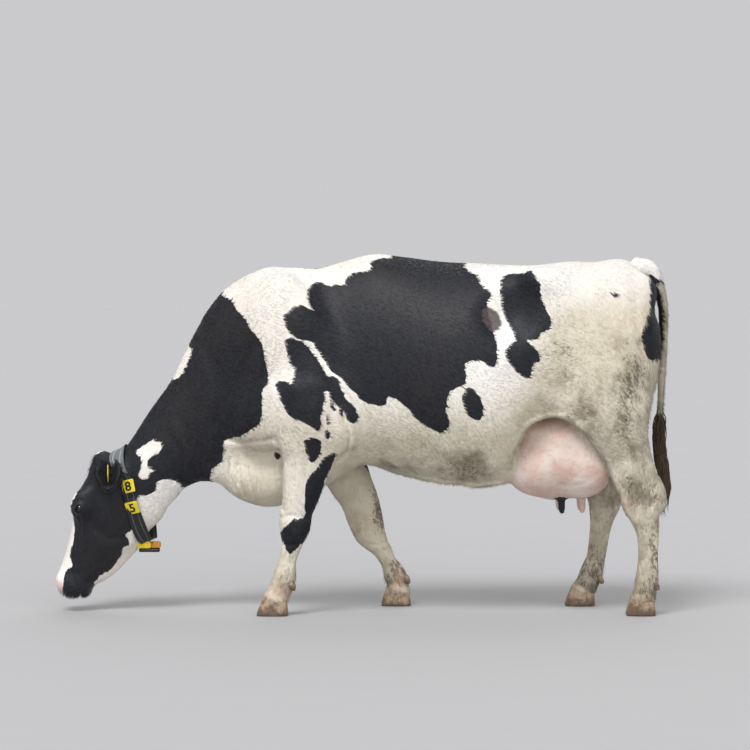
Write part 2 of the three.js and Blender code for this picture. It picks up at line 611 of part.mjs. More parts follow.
// What hangs at the bottom of the strap: a yellow shell, an orange end and a weight under them.
const HANGING = [
  { name: 'answering_box', size: [58, 52, 30], shift: [-30, -1], material: YELLOW },
  { name: 'answering_box_end', size: [42, 46, 25], shift: [27, -5], material: ORANGE },
  { name: 'collar_weight', size: [80, 40, 13], shift: [-2, -31.5], material: BLACK_PLASTIC },
];

const cow = new THREE.Group();

function place(name, solid, material) {
  const mesh = new THREE.Mesh(geometryOf(solid), material);
  mesh.name = name;
  cow.add(mesh);
  return mesh;
}

// ---------------------------------------------------------------- body, cut from the hide
const HEAD_CUT = { normal: [0.957, 0, 0.290], point: [-965, 0, 478] };
const SHOULDER_CUT = { normal: [0.985, 0, 0.17], point: [-530, 0, 950] };
const UDDER_MARGIN = 12;         // the udder's own cutter stands this far off its lumps
const LEG_OUT = 480;             // how far out the legs' prisms reach, and the room about them
const LEG_ROOM = 40;
const FLOOR_ROOM = 20;           // no flesh lies lower than this
const REGIONS = {                // the box that each region is meshed in
  udderCutter: [[562, -262, 430], [1080, 262, 860]],
  udder: [[575, -255, 440], [1060, 255, 850]],
  trunk: [[-600, -440, 380], [1270, 440, 1540]],
  neck: [[-1080, -300, 230], [-380, 300, 1480]],
  head: [[-1320, -160, 30], [-880, 160, 760]],
};

function udderCutter() {
  const lumps = new Clay();
  UDDER_LUMPS.forEach(({ at, radii, pitch, edge }) => lumps.add(pitched(at, radii, pitch), edge));
  const swollen = { distance: (point) => lumps.distance(point) - UDDER_MARGIN };
  return meshInBox(swollen, ...REGIONS.udderCutter, GRID.udder);
}

// A leg's own prism, larger by `margin` on every side.
function legPrism({ parting, inside, side }, margin) {
  const [from, to] = side < 0 ? [-LEG_OUT, -inside + margin] : [inside - margin, LEG_OUT];
  return sidePrism(spreadOutline(parting, margin), from, to);
}

// An outline moved out along the corners' own directions.
function spreadOutline(outline, margin) {
  const turn = THREE.ShapeUtils.area(outline.map(([x, z]) => ({ x, y: z }))) > 0 ? 1 : -1;
  return outline.map(([x, z], i) => {
    const [px, pz] = outline.at(i - 1);
    const [nx, nz] = outline[(i + 1) % outline.length];
    const before = Math.hypot(x - px, z - pz);
    const after = Math.hypot(nx - x, nz - z);
    const a = [(z - pz) / before * turn, -(x - px) / before * turn];
    const b = [(nz - z) / after * turn, -(nx - x) / after * turn];
    const spread = margin / (1 + a[0] * b[0] + a[1] * b[1]);
    return [x + (a[0] + b[0]) * spread, z + (a[1] + b[1]) * spread];
  });
}

// The coronet slopes down to the heel; the leg ends on it and the claws start under it.
const CORONET_SLOPE = 0.26;
const coronetNormal = unit([CORONET_SLOPE, 0, 1]);

function buildBody() {
  const udderLump = udderCutter();
  const udderRoom = grown(udderLump);

  const legs = Object.entries(LEGS).map(([name, leg]) => {
    const xs = leg.parting.map(([x]) => x);
    const inner = leg.inside - LEG_ROOM;
    const [left, right] = leg.side < 0 ? [-LEG_OUT, -inner] : [inner, LEG_OUT];
    const low = [Math.min(...xs) - LEG_ROOM, left, FLOOR_ROOM];
    const high = [Math.max(...xs) + LEG_ROOM, right, Math.max(...leg.parting.map(([, z]) => z)) + LEG_ROOM];
    const { coronet } = leg.foot;
    const whole = meshInBox(COW, low, high, GRID.leg).intersect(legPrism(leg, 0)).subtract(udderRoom);
    const solid = largest(beyond(whole, coronetNormal, [coronet[0], 0, coronet[1]]));
    place(name.replace('_', 'leg_'), solid, WHITE_COAT);
    return { name, leg, solid };
  });

  const udder = largest(meshInBox(COW, ...REGIONS.udder, GRID.udder).intersect(udderLump));
  place('udder', udder, PINK_SKIN);

  const hide = meshInBox(COW, ...REGIONS.trunk, GRID.trunk);
  const partings = legs.map(({ leg }) => legPrism(leg, GAP));
  const trunk = partings.reduce((rest, prism) => rest.subtract(prism),
    beyond(hide, SHOULDER_CUT.normal, SHOULDER_CUT.point)).subtract(udderRoom);
  place('trunk', trunk, WHITE_COAT);

  const neckMesh = meshInBox(COW, ...REGIONS.neck, GRID.neck);
  const neck = largest(before(beyond(neckMesh, HEAD_CUT.normal, HEAD_CUT.point),
    SHOULDER_CUT.normal, SHOULDER_CUT.point));
  place('neck', neck, BLACK_COAT);

  const headMesh = meshInBox(COW, ...REGIONS.head, GRID.head);
  const head = largest(before(headMesh, HEAD_CUT.normal, HEAD_CUT.point));
  return { legs, udder, trunk: largest(trunk), head };
}

// ---------------------------------------------------------------- head, eyes and ears
// Where a line sideways from inside the head comes out of it.
function surfaceY(down, front) {
  let y = 40;
  while (COW.distance(onHead([down, front, y])) < 0) y += 0.5;
  return y;
}

const MOUTH = { corner: [452, -92], lip: [590, -78] };   // the mouth's line on the face: [down, front]

function buildHead(head) {
  const eyeY = surfaceY(EYE.down, EYE.front) - EYE.radius + EYE.bulge;
  const ball = (radius) => new THREE.SphereGeometry(radius, 10, 7);
  let rest = head;
  for (const [name, side] of [['left', -1], ['right', 1]]) {
    const centre = onHead([EYE.down, EYE.front, side * eyeY]);
    const at = new THREE.Matrix4().setPosition(...centre);
    rest = rest.subtract(solidOf(ball(EYE.radius + 2 * GAP), at));
    place(`eye_${name}`, solidOf(ball(EYE.radius), at), EYEBALL);
  }

  // The lower jaw parts from the head along the mouth and on, straight, to the angle of the jaw.
  const corner = onHead([...MOUTH.corner, 0]);
  const along = unit(minus(onHead([...MOUTH.lip, 0]), corner));
  const jawSide = cross(along, [0, 1, 0]);
  const down = dot(jawSide, FACE_FRONT) < 0 ? jawSide : times(jawSide, -1);
  place('lower_jaw', beyond(rest, down, corner), WHITE_COAT);
  place('head', before(rest, down, corner), BLACK_COAT);
  return rest;
}

// An ear: a cupped leaf. Rings run down its length, each a thin bent oval.
function earSolid(side) {
  const root = onHead([EAR.down, EAR.front, side * (surfaceY(EAR.down, EAR.front) - EAR.sunk)]);
  const along = unit([EAR_LINE[0], EAR_LINE[1] * side, EAR_LINE[2]]);
  const across = unit(minus([1, 0, 0], times(along, along[0])));
  const outward = cross(across, along);
  const away = outward[1] * side > 0 ? outward : times(outward, -1);
  const leaf = smoothRows(EAR_LEAF);
  const rings = [];
  for (let r = 0; r <= 9; r += 1) {
    const t = r / 9;
    const halfWidth = leaf(t) * EAR.width / 2;
    const cup = EAR.cup * Math.sin(Math.PI * clamp(t * 0.9 + 0.1, 0, 1));
    const middle = add(root, times(along, EAR.length * t));
    const thickness = EAR.thickness * (t < 0.15 ? 2 : 1) / 2;
    const sheet = (s, lift) => add(middle, add(times(across, halfWidth * s),
      times(away, lift + cup * s * s)));
    const outer = [-1, -0.5, 0, 0.5, 1].map((s) => sheet(s, thickness * (1 - 0.6 * s * s)));
    const inner = [1, 0.5, 0, -0.5, -1].map((s) => sheet(s, -thickness * (1 - 0.6 * s * s) - 0.4));
    rings.push([...outer, ...inner]);
  }
  return { solid: ringsSolid(rings), along, across, away, root };
}

function buildEars(head) {
  const room = grown(head);
  for (const [name, side] of [['left', -1], ['right', 1]]) {
    const { solid, along, across, away, root } = earSolid(side);
    const ear = largest(solid.subtract(room));
    place(`ear_${name}`, ear, BLACK_COAT);
    // A tag stands in the cup of the ear, edge on to the side, held by a pin half way down.
    const tag = new THREE.ExtrudeGeometry(roundedRectangle(EAR_TAG.width, EAR_TAG.height, 10),
      { depth: EAR_TAG.thickness, bevelEnabled: false, curveSegments: 2 });
    const lift = EAR.thickness / 2 + EAR_TAG.width / 2 + 1;
    const middle = add(root, add(times(along, EAR.length * EAR_TAG.down), times(away, lift)));
    const basis = basisOf(away, cross(across, away), across).setPosition(...middle);
    place(`ear_tag_${name}`, solidOf(tag, basis).subtract(grown(ear)), YELLOW);
  }
}

// ---------------------------------------------------------------- feet
// A claw: rings from the flat sole up to the sloping coronet, pointed at the toe and round at the heel.
function clawSolid(foot, half) {
  const [topX, topZ] = foot.coronet;
  const rings = CLAW.levels.map((level, n) => {
    const toe = foot.toe + (topX - CLAW.toeBack - foot.toe) * level;
    const heel = foot.heel + (topX + CLAW.heelBack - foot.heel) * level;
    const centre = (toe + heel) / 2;
    const halfLength = (heel - toe) / 2;
    const halfWidth = CLAW.widths[n] / 2;
    return Array.from({ length: CLAW.sides }, (_, i) => {
      const turn = 2 * Math.PI * i / CLAW.sides;
      const x = centre + halfLength * Math.cos(turn);
      const taper = 1 - CLAW.toeTaper * Math.max(0, -Math.cos(turn)) ** 2;
      const round = Math.sign(Math.sin(turn)) * Math.abs(Math.sin(turn)) ** CLAW.squareness;
      const y = CLAW.apart + halfWidth + halfWidth * round * taper;
      const z = level * (topZ - CORONET_SLOPE * (x - topX) - GAP);
      return [x, foot.y + half * y, z];
    });
  });
  return ringsSolid(rings);
}

function buildFeet(legs) {
  for (const { name, leg, solid } of legs) {
    const room = grown(solid);
    const { foot, side } = leg;
    const [dewX, dewZ] = foot.dewclaw;
    for (const half of [-1, 1]) {
      const where = half === side ? 'outer' : 'inner';
      place(`claw_${name}_${where}`, clawSolid(foot, half), HOOF);
      const bud = new THREE.SphereGeometry(1, 6, 5);
      const at = new THREE.Matrix4().makeScale(...DEWCLAW.radii)
        .setPosition(dewX, foot.y + half * DEWCLAW.apart, dewZ);
      place(`dewclaw_${name}_${where}`, solidOf(bud, at).subtract(room), HOOF);
    }
  }
}

// ---------------------------------------------------------------- udder's teats and the tail
function buildTeats(udder) {
  const room = grown(udder);
  for (const [name, [x, y]] of Object.entries(TEATS)) {
    for (const [where, side] of [['left', -1], ['right', 1]]) {
      const teat = new THREE.LatheGeometry(TEAT_PROFILE.map(([r, z]) => new THREE.Vector2(r, z)), 10);
      const upright = new THREE.Matrix4().makeRotationX(Math.PI / 2).setPosition(x, side * y, TEAT_TIP);
      place(`teat_${name}_${where}`, solidOf(teat, upright).subtract(room), PINK_SKIN);
    }
  }
}

function buildTail(trunk) {
  const tail = largest(tubeSolid(TAIL, 8, 2).subtract(grown(trunk)));
  place('tail', tail, WHITE_COAT);
  place('tail_switch', tubeSolid(SWITCH, 8, 3).subtract(grown(tail)), TAIL_HAIR);
}

// ---------------------------------------------------------------- collar
function roundedRectangle(width, height, radius) {
  const [x, y] = [width / 2, height / 2];
  const shape = new THREE.Shape();
  shape.moveTo(-x + radius, -y);
  for (const [cx, cy, start] of [[x, -y, -0.5], [x, y, 0], [-x, y, 0.5], [-x, -y, 1]]) {
    shape.absarc(cx - Math.sign(cx) * radius, cy - Math.sign(cy) * radius, radius,
      start * Math.PI, (start + 0.5) * Math.PI, false);
  }
  shape.closePath();
  return shape;
}

// The collar's own plane: up it, across it to her right, and forward out of it.
const collarMiddle = times(add(COLLAR.top, COLLAR.bottom), 0.5);
const collarUp = unit(minus(COLLAR.top, COLLAR.bottom));
const collarRight = unit([COLLAR.yaw, 1, 0]);
const collarOut = unit(cross(collarRight, collarUp));
const collarAcross = cross(collarUp, collarOut);
const collarDirection = (turn) =>
  add(times(collarAcross, Math.cos(turn)), times(collarUp, Math.sin(turn)));

// How far the strap lies from the collar's middle, in a direction in its plane: on the hide, with its
// slack hanging at the bottom.
function strapRadius(turn) {
  const ray = collarDirection(turn);
  const widest = [-1, 0, 1].map((edge) => {
    const from = add(collarMiddle, times(collarOut, edge * COLLAR.width / 2));
    let r = 40;
    while (COW.distance(add(from, times(ray, r))) < COLLAR.clearance) r += 1;
    return r;
  });
  const hang = Math.sin(turn) < 0 ? COLLAR.slack * Math.abs(Math.sin(turn)) ** 1.5 : 0;
  return Math.max(...widest, hang);
}

function strapSolid(from, to, inner, outer, width) {
  const steps = Math.max(6, Math.round((to - from) / (Math.PI / 24)));
  const at = (turn, lift) => {
    const r = strapRadius(turn) + lift;
    return new THREE.Vector2(r * Math.cos(turn), r * Math.sin(turn));
  };
  const turns = Array.from({ length: steps + 1 }, (_, i) => from + (to - from) * i / steps);
  const whole = to - from > 2 * Math.PI - 1e-6;
  const outside = turns.map((turn) => at(turn, outer));
  const inside = turns.map((turn) => at(turn, inner));
  const shape = new THREE.Shape(whole ? outside.slice(0, -1) : [...outside, ...inside.reverse()]);
  if (whole) shape.holes.push(new THREE.Path(inside.slice(0, -1)));
  const geometry = new THREE.ExtrudeGeometry(shape, { depth: width, bevelEnabled: false });
  const basis = basisOf(collarAcross, collarUp, collarOut).setPosition(...collarMiddle);
  return solidOf(geometry.translate(0, 0, -width / 2), basis);
}

// The turn at which the strap passes a height over the collar's middle, on one side of the neck.
function turnAt(height, side) {
  let turn = 0;
  for (let round = 0; round < 12; round += 1) {
    turn = Math.asin(height / strapRadius(side < 0 ? Math.PI - turn : turn));
  }
  return side < 0 ? Math.PI - turn : turn;
}

function plateSolid(height, side) {
  const turn = turnAt(height, side);
  const r = strapRadius(turn) + COLLAR.thickness;
  const step = 0.12;
  const lean = (strapRadius(turn + step) - strapRadius(turn - step)) / (2 * step) / r;
  const out = collarDirection(turn - Math.atan(lean));
  const up = times(unit(cross(collarOut, out)), side);
  const plate = new THREE.ExtrudeGeometry(roundedRectangle(PLATE.size, PLATE.size, 6),
    { depth: PLATE.thickness, bevelEnabled: false, curveSegments: 2 });
  const at = add(collarMiddle, add(times(collarDirection(turn), r), times(out, PLATE.thickness / 2)));
  return solidOf(plate, basisOf(cross(up, out), up, out).setPosition(...at));
}

// The box that hangs under the strap: size along x, y and z, and [x, z] of its top's middle.
function hungBox([sizeX, sizeY, sizeZ], [shiftX, shiftZ], bottom) {
  const shape = roundedRectangle(sizeX, sizeZ, Math.min(sizeX, sizeZ) / 4);
  const geometry = new THREE.ExtrudeGeometry(shape,
    { depth: sizeY, bevelEnabled: false, curveSegments: 2 });
  return solidOf(geometry.translate(shiftX, shiftZ - sizeZ / 2, -sizeY / 2),
    basisOf([1, 0, 0], [0, 0, 1], [0, -1, 0]).setPosition(...bottom));
}

function buildCollar(throatAndHead) {
  const { thickness, width } = COLLAR;
  const throat = grown(throatAndHead);
  const strap = strapSolid(0, 2 * Math.PI, 0, thickness, width);
  const room = grown(strap);
  place('collar_strap', strap, WEBBING);
  place('collar_sleeve', strapSolid(SLEEVE.from, SLEEVE.to, SLEEVE.inside, SLEEVE.outside, width - 2)
    .subtract(room), GREY_WEBBING);
  for (const [name, side] of [['left', -1], ['right', 1]]) {
    PLATE.heights.forEach((height, n) =>
      place(`number_plate_${name}_${n + 1}`, plateSolid(height, side).subtract(room), YELLOW));
  }
  const under = strapRadius(-Math.PI / 2) + thickness;
  const bottom = add(collarMiddle, times(collarUp, -under - GAP));
  for (const { name, size, shift, material } of HANGING) {
    place(name, hungBox(size, shift, bottom).subtract(room).subtract(throat), material);
  }
}

// ---------------------------------------------------------------- the whole animal
const body = buildBody();
const head = buildHead(body.head);
buildEars(head);
buildFeet(body.legs);
buildTeats(body.udder);
buildTail(body.trunk);
buildCollar(head);

export default cow;
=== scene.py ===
# A grazing Holstein cow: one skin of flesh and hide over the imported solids, with her black and white
# coat, eyes, claws, collar and ear tags. Metres, +Z up; she faces -X and her left side faces -Y.
import math

import bpy
import numpy as np
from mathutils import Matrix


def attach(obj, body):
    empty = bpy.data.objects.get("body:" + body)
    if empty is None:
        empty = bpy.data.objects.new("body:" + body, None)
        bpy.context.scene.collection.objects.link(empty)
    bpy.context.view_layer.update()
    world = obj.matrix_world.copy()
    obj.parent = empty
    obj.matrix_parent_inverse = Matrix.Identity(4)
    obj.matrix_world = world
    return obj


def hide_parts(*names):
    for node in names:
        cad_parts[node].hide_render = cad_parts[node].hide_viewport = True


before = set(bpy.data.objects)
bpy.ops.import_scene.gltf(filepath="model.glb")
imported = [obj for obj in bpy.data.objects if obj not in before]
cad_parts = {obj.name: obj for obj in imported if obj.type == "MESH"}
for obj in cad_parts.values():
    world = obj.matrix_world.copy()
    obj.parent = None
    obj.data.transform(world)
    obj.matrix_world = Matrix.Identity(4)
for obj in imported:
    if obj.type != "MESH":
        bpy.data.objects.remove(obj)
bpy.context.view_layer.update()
rng = np.random.default_rng(7)

CAMERA_PLACE = (0.044, -12.0, 1.38)
CAMERA_DOWN = 1.889            # degrees below the horizon
CAMERA_LENS, CAMERA_SENSOR = 138.24, 36
camera_data = bpy.data.cameras.new("camera")
camera_data.lens = CAMERA_LENS
camera_data.sensor_width = CAMERA_SENSOR
camera_data.clip_end = 400
camera = bpy.data.objects.new("camera", camera_data)
camera.location = CAMERA_PLACE
camera.rotation_euler = (math.radians(90 - CAMERA_DOWN), 0, 0)
bpy.context.collection.objects.link(camera)
bpy.context.scene.camera = camera

# ------------------------------------------------------------ forms: distances to simple shapes
REACH = 0.14                   # how far outside a form its soft edge is worked out
FAR = 1.0                      # the distance of every point beyond that
COAT = 0.003                   # how far the skin lies inside the solids


def unit(v):
    v = np.asarray(v, float)
    return v / np.linalg.norm(v, axis=-1, keepdims=v.ndim > 1)


def smooth(x, low, high):
    t = np.clip((x - low) / (high - low), 0, 1)
    return t * t * (3 - 2 * t)


def smooth_curve(knots, values, at):
    """Cubic through the knots, each slope being the mean of its neighbours'."""
    k, v = np.asarray(knots, float), np.asarray(values, float)
    step = np.diff(k)
    rise = (np.diff(v, axis=0).T / step).T
    slope = np.zeros_like(v)
    slope[1:-1] = ((rise[:-1].T * step[1:] + rise[1:].T * step[:-1]) / (step[1:] + step[:-1])).T
    slope[0], slope[-1] = rise[0], rise[-1]
    at = np.clip(at, k[0], k[-1])
    i = np.clip(np.searchsorted(k, at, side="right") - 1, 0, len(k) - 2)
    t, h = (at - k[i]) / step[i], step[i]
    if v.ndim == 2:
        t, h = t[:, None], h[:, None]
    return (
        (2 * t**3 - 3 * t**2 + 1) * v[i] + (t**3 - 2 * t**2 + t) * h * slope[i]
        + (-2 * t**3 + 3 * t**2) * v[i + 1] + (t**3 - t**2) * h * slope[i + 1]
    )


def smin(a, b, k):
    h = np.maximum(k - np.abs(a - b), 0) / k
    return np.minimum(a, b) - h * h * k * 0.25


def smax(a, b, k):
    return -smin(-a, -b, k)


class Table:
    """A smooth curve through rows of (place, value)."""

    def __init__(self, rows):
        k, v = zip(*rows)
        self.at = np.linspace(k[0], k[-1], 240)
        self.values = smooth_curve(k, v, self.at)

    def __call__(self, x):
        return np.interp(x, self.at, self.values)


class Loft:
    """A form along a straight axis. Its section has a half width, a top, a bottom, the height of its
    widest line, and how square it is above and below that line."""

    STEP = 0.01                # to either side, for its slope along the axis

    def __init__(self, origin, along, up, width, top, bottom, waist, square_top, square_low, round_end):
        self.origin, self.along, self.up = np.array(origin, float), unit(along), unit(up)
        self.side = np.cross(self.up, self.along)
        self.width, self.top, self.bottom, self.waist = map(Table, (width, top, bottom, waist))
        self.square_top, self.square_low = Table(square_top), Table(square_low)
        self.low, self.high, self.round_end = width[0][0], width[-1][0], round_end
        x = np.linspace(self.low, self.high, 40)
        corners = [
            self.origin + np.outer(x, self.along) + np.outer(h(x), self.up)
            + np.outer(s * self.width(x), self.side)
            for h in (self.top, self.bottom) for s in (-1, 1)
        ]
        corners = np.concatenate(corners)
        self.box = corners.min(0), corners.max(0)

    def ratio(self, x, y, z):
        waist = self.waist(x)
        up = z > waist
        height = np.where(up, self.top(x) - waist, waist - self.bottom(x))
        n = np.where(up, self.square_top(x), self.square_low(x))
        w = self.width(x)
        ay, az = np.abs(y) / w, np.abs(z - waist) / height
        return (ay**n + az**n + 1e-9) ** (1 / n), w, height, n, ay, az

    def distance(self, p):
        q = p - self.origin
        x, y, z = q @ self.along, q @ self.side, q @ self.up
        inside = np.clip(x, self.low, self.high)
        r, w, h, n, ay, az = self.ratio(inside, y, z)
        ahead, behind = (np.clip(inside + e, self.low, self.high) for e in (self.STEP, -self.STEP))
        gx = (self.ratio(ahead, y, z)[0] - self.ratio(behind, y, z)[0]) / (2 * self.STEP)
        gy = ay ** (n - 1) / w * r ** (1 - n)
        gz = az ** (n - 1) / h * r ** (1 - n)
        d = (r - 1) / np.sqrt(0.6 * gx**2 + gy**2 + gz**2 + 1e-6)
        return smax(d, np.maximum(self.low - x, x - self.high), self.round_end)


class Tube:
    """A limb through stations of (centre, half depth in its own plane, half width across)."""

    STEPS = 5
    CAP = 0.6

    def __init__(self, stations):
        s = np.array(stations, float)
        k = np.concatenate([[0], np.cumsum(np.linalg.norm(np.diff(s[:, :3], axis=0), axis=1))])
        n = (len(k) - 1) * self.STEPS
        at = np.interp(np.arange(n + 1) / self.STEPS, np.arange(len(k)), k)
        self.line = smooth_curve(k, s, at)
        r = self.line[:, 3:5].max(1)[:, None]
        self.box = (self.line[:, :3] - r).min(0), (self.line[:, :3] + r).max(0)

    def distance(self, p):
        best = np.full(len(p), FAR)
        for a, b in zip(self.line[:-1], self.line[1:]):
            ab = b[:3] - a[:3]
            length = np.linalg.norm(ab)
            along = ab / length
            across = unit(np.array((0, 1, 0)) - along[1] * along)
            q = p - a[:3]
            run = q @ along
            t = np.clip(run / length, 0, 1)
            depth, width = a[3] + (b[3] - a[3]) * t, a[4] + (b[4] - a[4]) * t
            cap = np.minimum(depth, width) * self.CAP + 1e-6
            terms = (q @ np.cross(across, along), depth), (q @ across, width), (run - t * length, cap)
            best = np.minimum(best, to_ellipsoid(terms))
        return best


def to_ellipsoid(terms):
    """The distance to an ellipsoid, from (place, radius) on each of its axes."""
    k0 = np.sqrt(sum((d / r) ** 2 for d, r in terms) + 1e-9)
    k1 = np.sqrt(sum((d / r**2) ** 2 for d, r in terms) + 1e-9)
    return k0 * (k0 - 1) / k1


class Lump:
    """An ellipsoid on its own three axes, which are the columns of turn."""

    def __init__(self, centre, radii, pitch=0.0, turn=None):
        self.centre, self.radii = np.array(centre, float), np.array(radii, float)
        a = math.radians(pitch)
        upright = np.array([[math.cos(a), 0, math.sin(a)], [0, 1, 0], [-math.sin(a), 0, math.cos(a)]])
        self.turn = upright if turn is None else turn
        e = np.abs(self.turn) @ self.radii
        self.box = self.centre - e, self.centre + e

    def distance(self, p):
        return to_ellipsoid(list(zip(((p - self.centre) @ self.turn).T, self.radii)))


def in_box(points, low, high, reach):
    """The numbers of the points in a box or no farther than reach outside it."""
    return np.flatnonzero(((points > low - reach) & (points < high + reach)).all(1))


class Clay:
    """Distances at the points, with each form pressed on or cut out with a soft edge."""

    def __init__(self, points):
        self.points = points
        self.f = np.full(len(points), FAR)

    def join(self, form, edge, sign):
        i = in_box(self.points, *form.box, max(REACH, edge))
        if len(i):
            self.f[i] = sign * smin(sign * self.f[i], form.distance(self.points[i]), edge)

    def add(self, form, edge):
        self.join(form, edge, 1)

    def cut(self, form, edge):
        self.join(form, edge, -1)


# ------------------------------------------------------------ the cow's own sizes
POLL = np.array((-1.110, 0, 0.651))          # top of the skull, between the ears
FACE_DOWN = np.array((-0.265, 0, -0.964))    # from the poll to the muzzle
FACE_FRONT = np.array((-0.964, 0, 0.265))    # out of the forehead
HEAD_TURN = np.stack([FACE_DOWN, (0, 1, 0), FACE_FRONT], 1)
SIDES = (("left", -1), ("right", 1))

TRUNK = Loft(
    (0, 0, 0), (1, 0, 0), (0, 0, 1),
    width=[(-.56, .10), (-.47, .145), (-.38, .18), (-.27, .215), (-.12, .246), (.05, .29), (.24, .341),
           (.40, .367), (.53, .362), (.66, .34), (.80, .312), (.95, .281), (1.08, .242), (1.19, .17)],
    top=[(-.56, 1.36), (-.477, 1.383), (-.402, 1.417), (-.315, 1.431), (-.181, 1.432), (-.102, 1.454),
         (.044, 1.489), (.148, 1.479), (.315, 1.458), (.481, 1.45), (.702, 1.442), (.865, 1.458),
         (.956, 1.456), (1.04, 1.468), (1.115, 1.466), (1.19, 1.42)],
    bottom=[(-.56, .80), (-.477, .72), (-.38, .66), (-.27, .58), (-.17, .545), (.006, .608), (.123, .575),
            (.24, .546), (.394, .527), (.523, .521), (.585, .54), (.70, .61), (.85, .70), (1.0, .78),
            (1.19, .90)],
    waist=[(-.56, 1.0), (-.27, .95), (.24, .90), (.53, .92), (.8, 1.10), (1.19, 1.20)],
    square_top=[(-.56, 2.0), (-.3, 1.75), (.1, 1.9), (.5, 2.3), (.74, 3.3), (.9, 2.9), (1.1, 2.6),
                (1.19, 2.2)],
    square_low=[(-.56, 2.0), (1.19, 2.1)], round_end=0.16)
HEAD = Loft(
    POLL, FACE_DOWN, FACE_FRONT,
    width=[(0, .078), (.05, .092), (.12, .100), (.2, .104), (.26, .094), (.33, .080), (.42, .066),
           (.5, .064), (.55, .066), (.600, .052)],
    top=[(0, .0), (.071, .024), (.116, .029), (.174, .043), (.224, .046), (.28, .036), (.332, .030),
         (.462, .029), (.515, .035), (.55, .036), (.58, .022), (.6, -.005)],
    bottom=[(0, -.10), (.12, -.16), (.2, -.22), (.27, -.255), (.33, -.26), (.394, -.235), (.45, -.205),
            (.50, -.165), (.53, -.13), (.57, -.10), (.6, -.07)],
    waist=[(0, -.05), (.2, -.04), (.33, -.06), (.45, -.06), (.6, -.03)],
    square_top=[(0, 2.2), (.2, 2.6), (.33, 2.2), (.6, 2.4)],
    square_low=[(0, 2.0), (.2, 1.8), (.33, 1.6), (.5, 1.8), (.6, 2.2)], round_end=0.06)
NECK = Loft(
    (-1.0, 0, .50), (.7495, 0, .662), (-.662, 0, .7495),
    width=[(-.10, .070), (0, .078), (.13, .085), (.3, .092), (.45, .108), (.6, .130), (.75, .155),
           (.9, .185), (1.05, .21)],
    top=[(-.10, .09), (0, .115), (.13, .137), (.31, .186), (.45, .219), (.60, .281), (.685, .313),
         (.748, .335), (.85, .345), (.94, .328), (1.05, .285)],
    bottom=[(-.10, -.19), (-.06, -.19), (.03, -.19), (.095, -.17), (.145, -.165), (.19, -.158),
            (.246, -.172), (.295, -.198), (.43, -.243), (.55, -.30), (.8, -.36), (1.05, -.38)],
    waist=[(-.10, -.05), (.3, 0), (.6, .0), (1.05, 0)],
    square_top=[(-.1, 2.0), (.3, 1.7), (1.05, 1.7)], square_low=[(-.1, 2.0), (1.05, 2.0)], round_end=.08)
DEWLAP = Tube([
    (-.62, 0, .600, .045, .045), (-.56, 0, .585, .075, .065), (-.48, 0, .555, .100, .085),
    (-.40, 0, .545, .112, .095), (-.31, 0, .57, .11, .11), (-.20, 0, .64, .10, .12)])
TAIL = Tube([
    (1.13, 0, 1.43, .045, .05), (1.182, 0, 1.426, .038, .036), (1.217, 0, 1.365, .031, .028),
    (1.238, 0, 1.297, .023, .022), (1.244, 0, 1.172, .019, .019), (1.240, 0, 1.047, .016, .016),
    (1.234, 0, .897, .014, .014), (1.228, 0, .759, .013, .013), (1.229, 0, .700, .013, .013)])
LEGS = {
    "fore_left": Tube([
        (-.235, -.20, .92, .15, .07), (-.228, -.205, .80, .148, .075), (-.228, -.20, .735, .137, .07),
        (-.233, -.195, .634, .107, .060), (-.251, -.19, .560, .093, .054), (-.268, -.187, .486, .081, .050),
        (-.280, -.185, .433, .071, .046), (-.287, -.185, .351, .063, .050), (-.300, -.185, .287, .043, .038),
        (-.314, -.185, .232, .037, .030), (-.329, -.185, .160, .046, .038), (-.347, -.185, .110, .046, .037),
        (-.366, -.185, .068, .052, .046)]),
    "fore_right": Tube([
        (-.20, .20, .92, .15, .07), (-.17, .205, .80, .145, .075), (-.135, .20, .70, .13, .07),
        (-.095, .195, .60, .107, .060), (-.06, .19, .521, .093, .054), (-.026, .187, .457, .083, .050),
        (.001, .185, .373, .077, .048), (.022, .185, .310, .068, .052), (.072, .185, .240, .043, .038),
        (.101, .185, .186, .036, .030), (.126, .185, .135, .048, .038), (.138, .185, .095, .047, .037),
        (.142, .185, .062, .052, .046)]),
    "hind_left": Tube([
        (.99, -.15, 1.16, .19, .11), (.99, -.17, 1.02, .19, .125), (1.003, -.185, .888, .165, .115),
        (1.036, -.19, .767, .137, .10), (1.066, -.19, .692, .109, .085), (1.107, -.185, .577, .094, .065),
        (1.141, -.18, .470, .087, .050), (1.152, -.18, .413, .066, .047), (1.165, -.18, .350, .050, .035),
        (1.168, -.18, .261, .042, .030), (1.163, -.18, .155, .047, .038), (1.155, -.18, .105, .047, .037),
        (1.146, -.18, .066, .052, .046)]),
    "hind_right": Tube([
        (.96, .15, 1.16, .19, .11), (.945, .17, 1.02, .19, .125), (.93, .185, .90, .175, .115),
        (.925, .19, .77, .145, .10), (.945, .19, .692, .115, .085), (.98, .185, .60, .095, .065),
        (1.018, .18, .500, .085, .050), (1.020, .18, .44, .070, .047), (1.006, .18, .370, .052, .035),
        (.993, .18, .285, .043, .031), (.981, .18, .21, .042, .031), (.960, .18, .140, .048, .038),
        (.942, .18, .098, .047, .037), (.926, .18, .064, .053, .046)]),
}
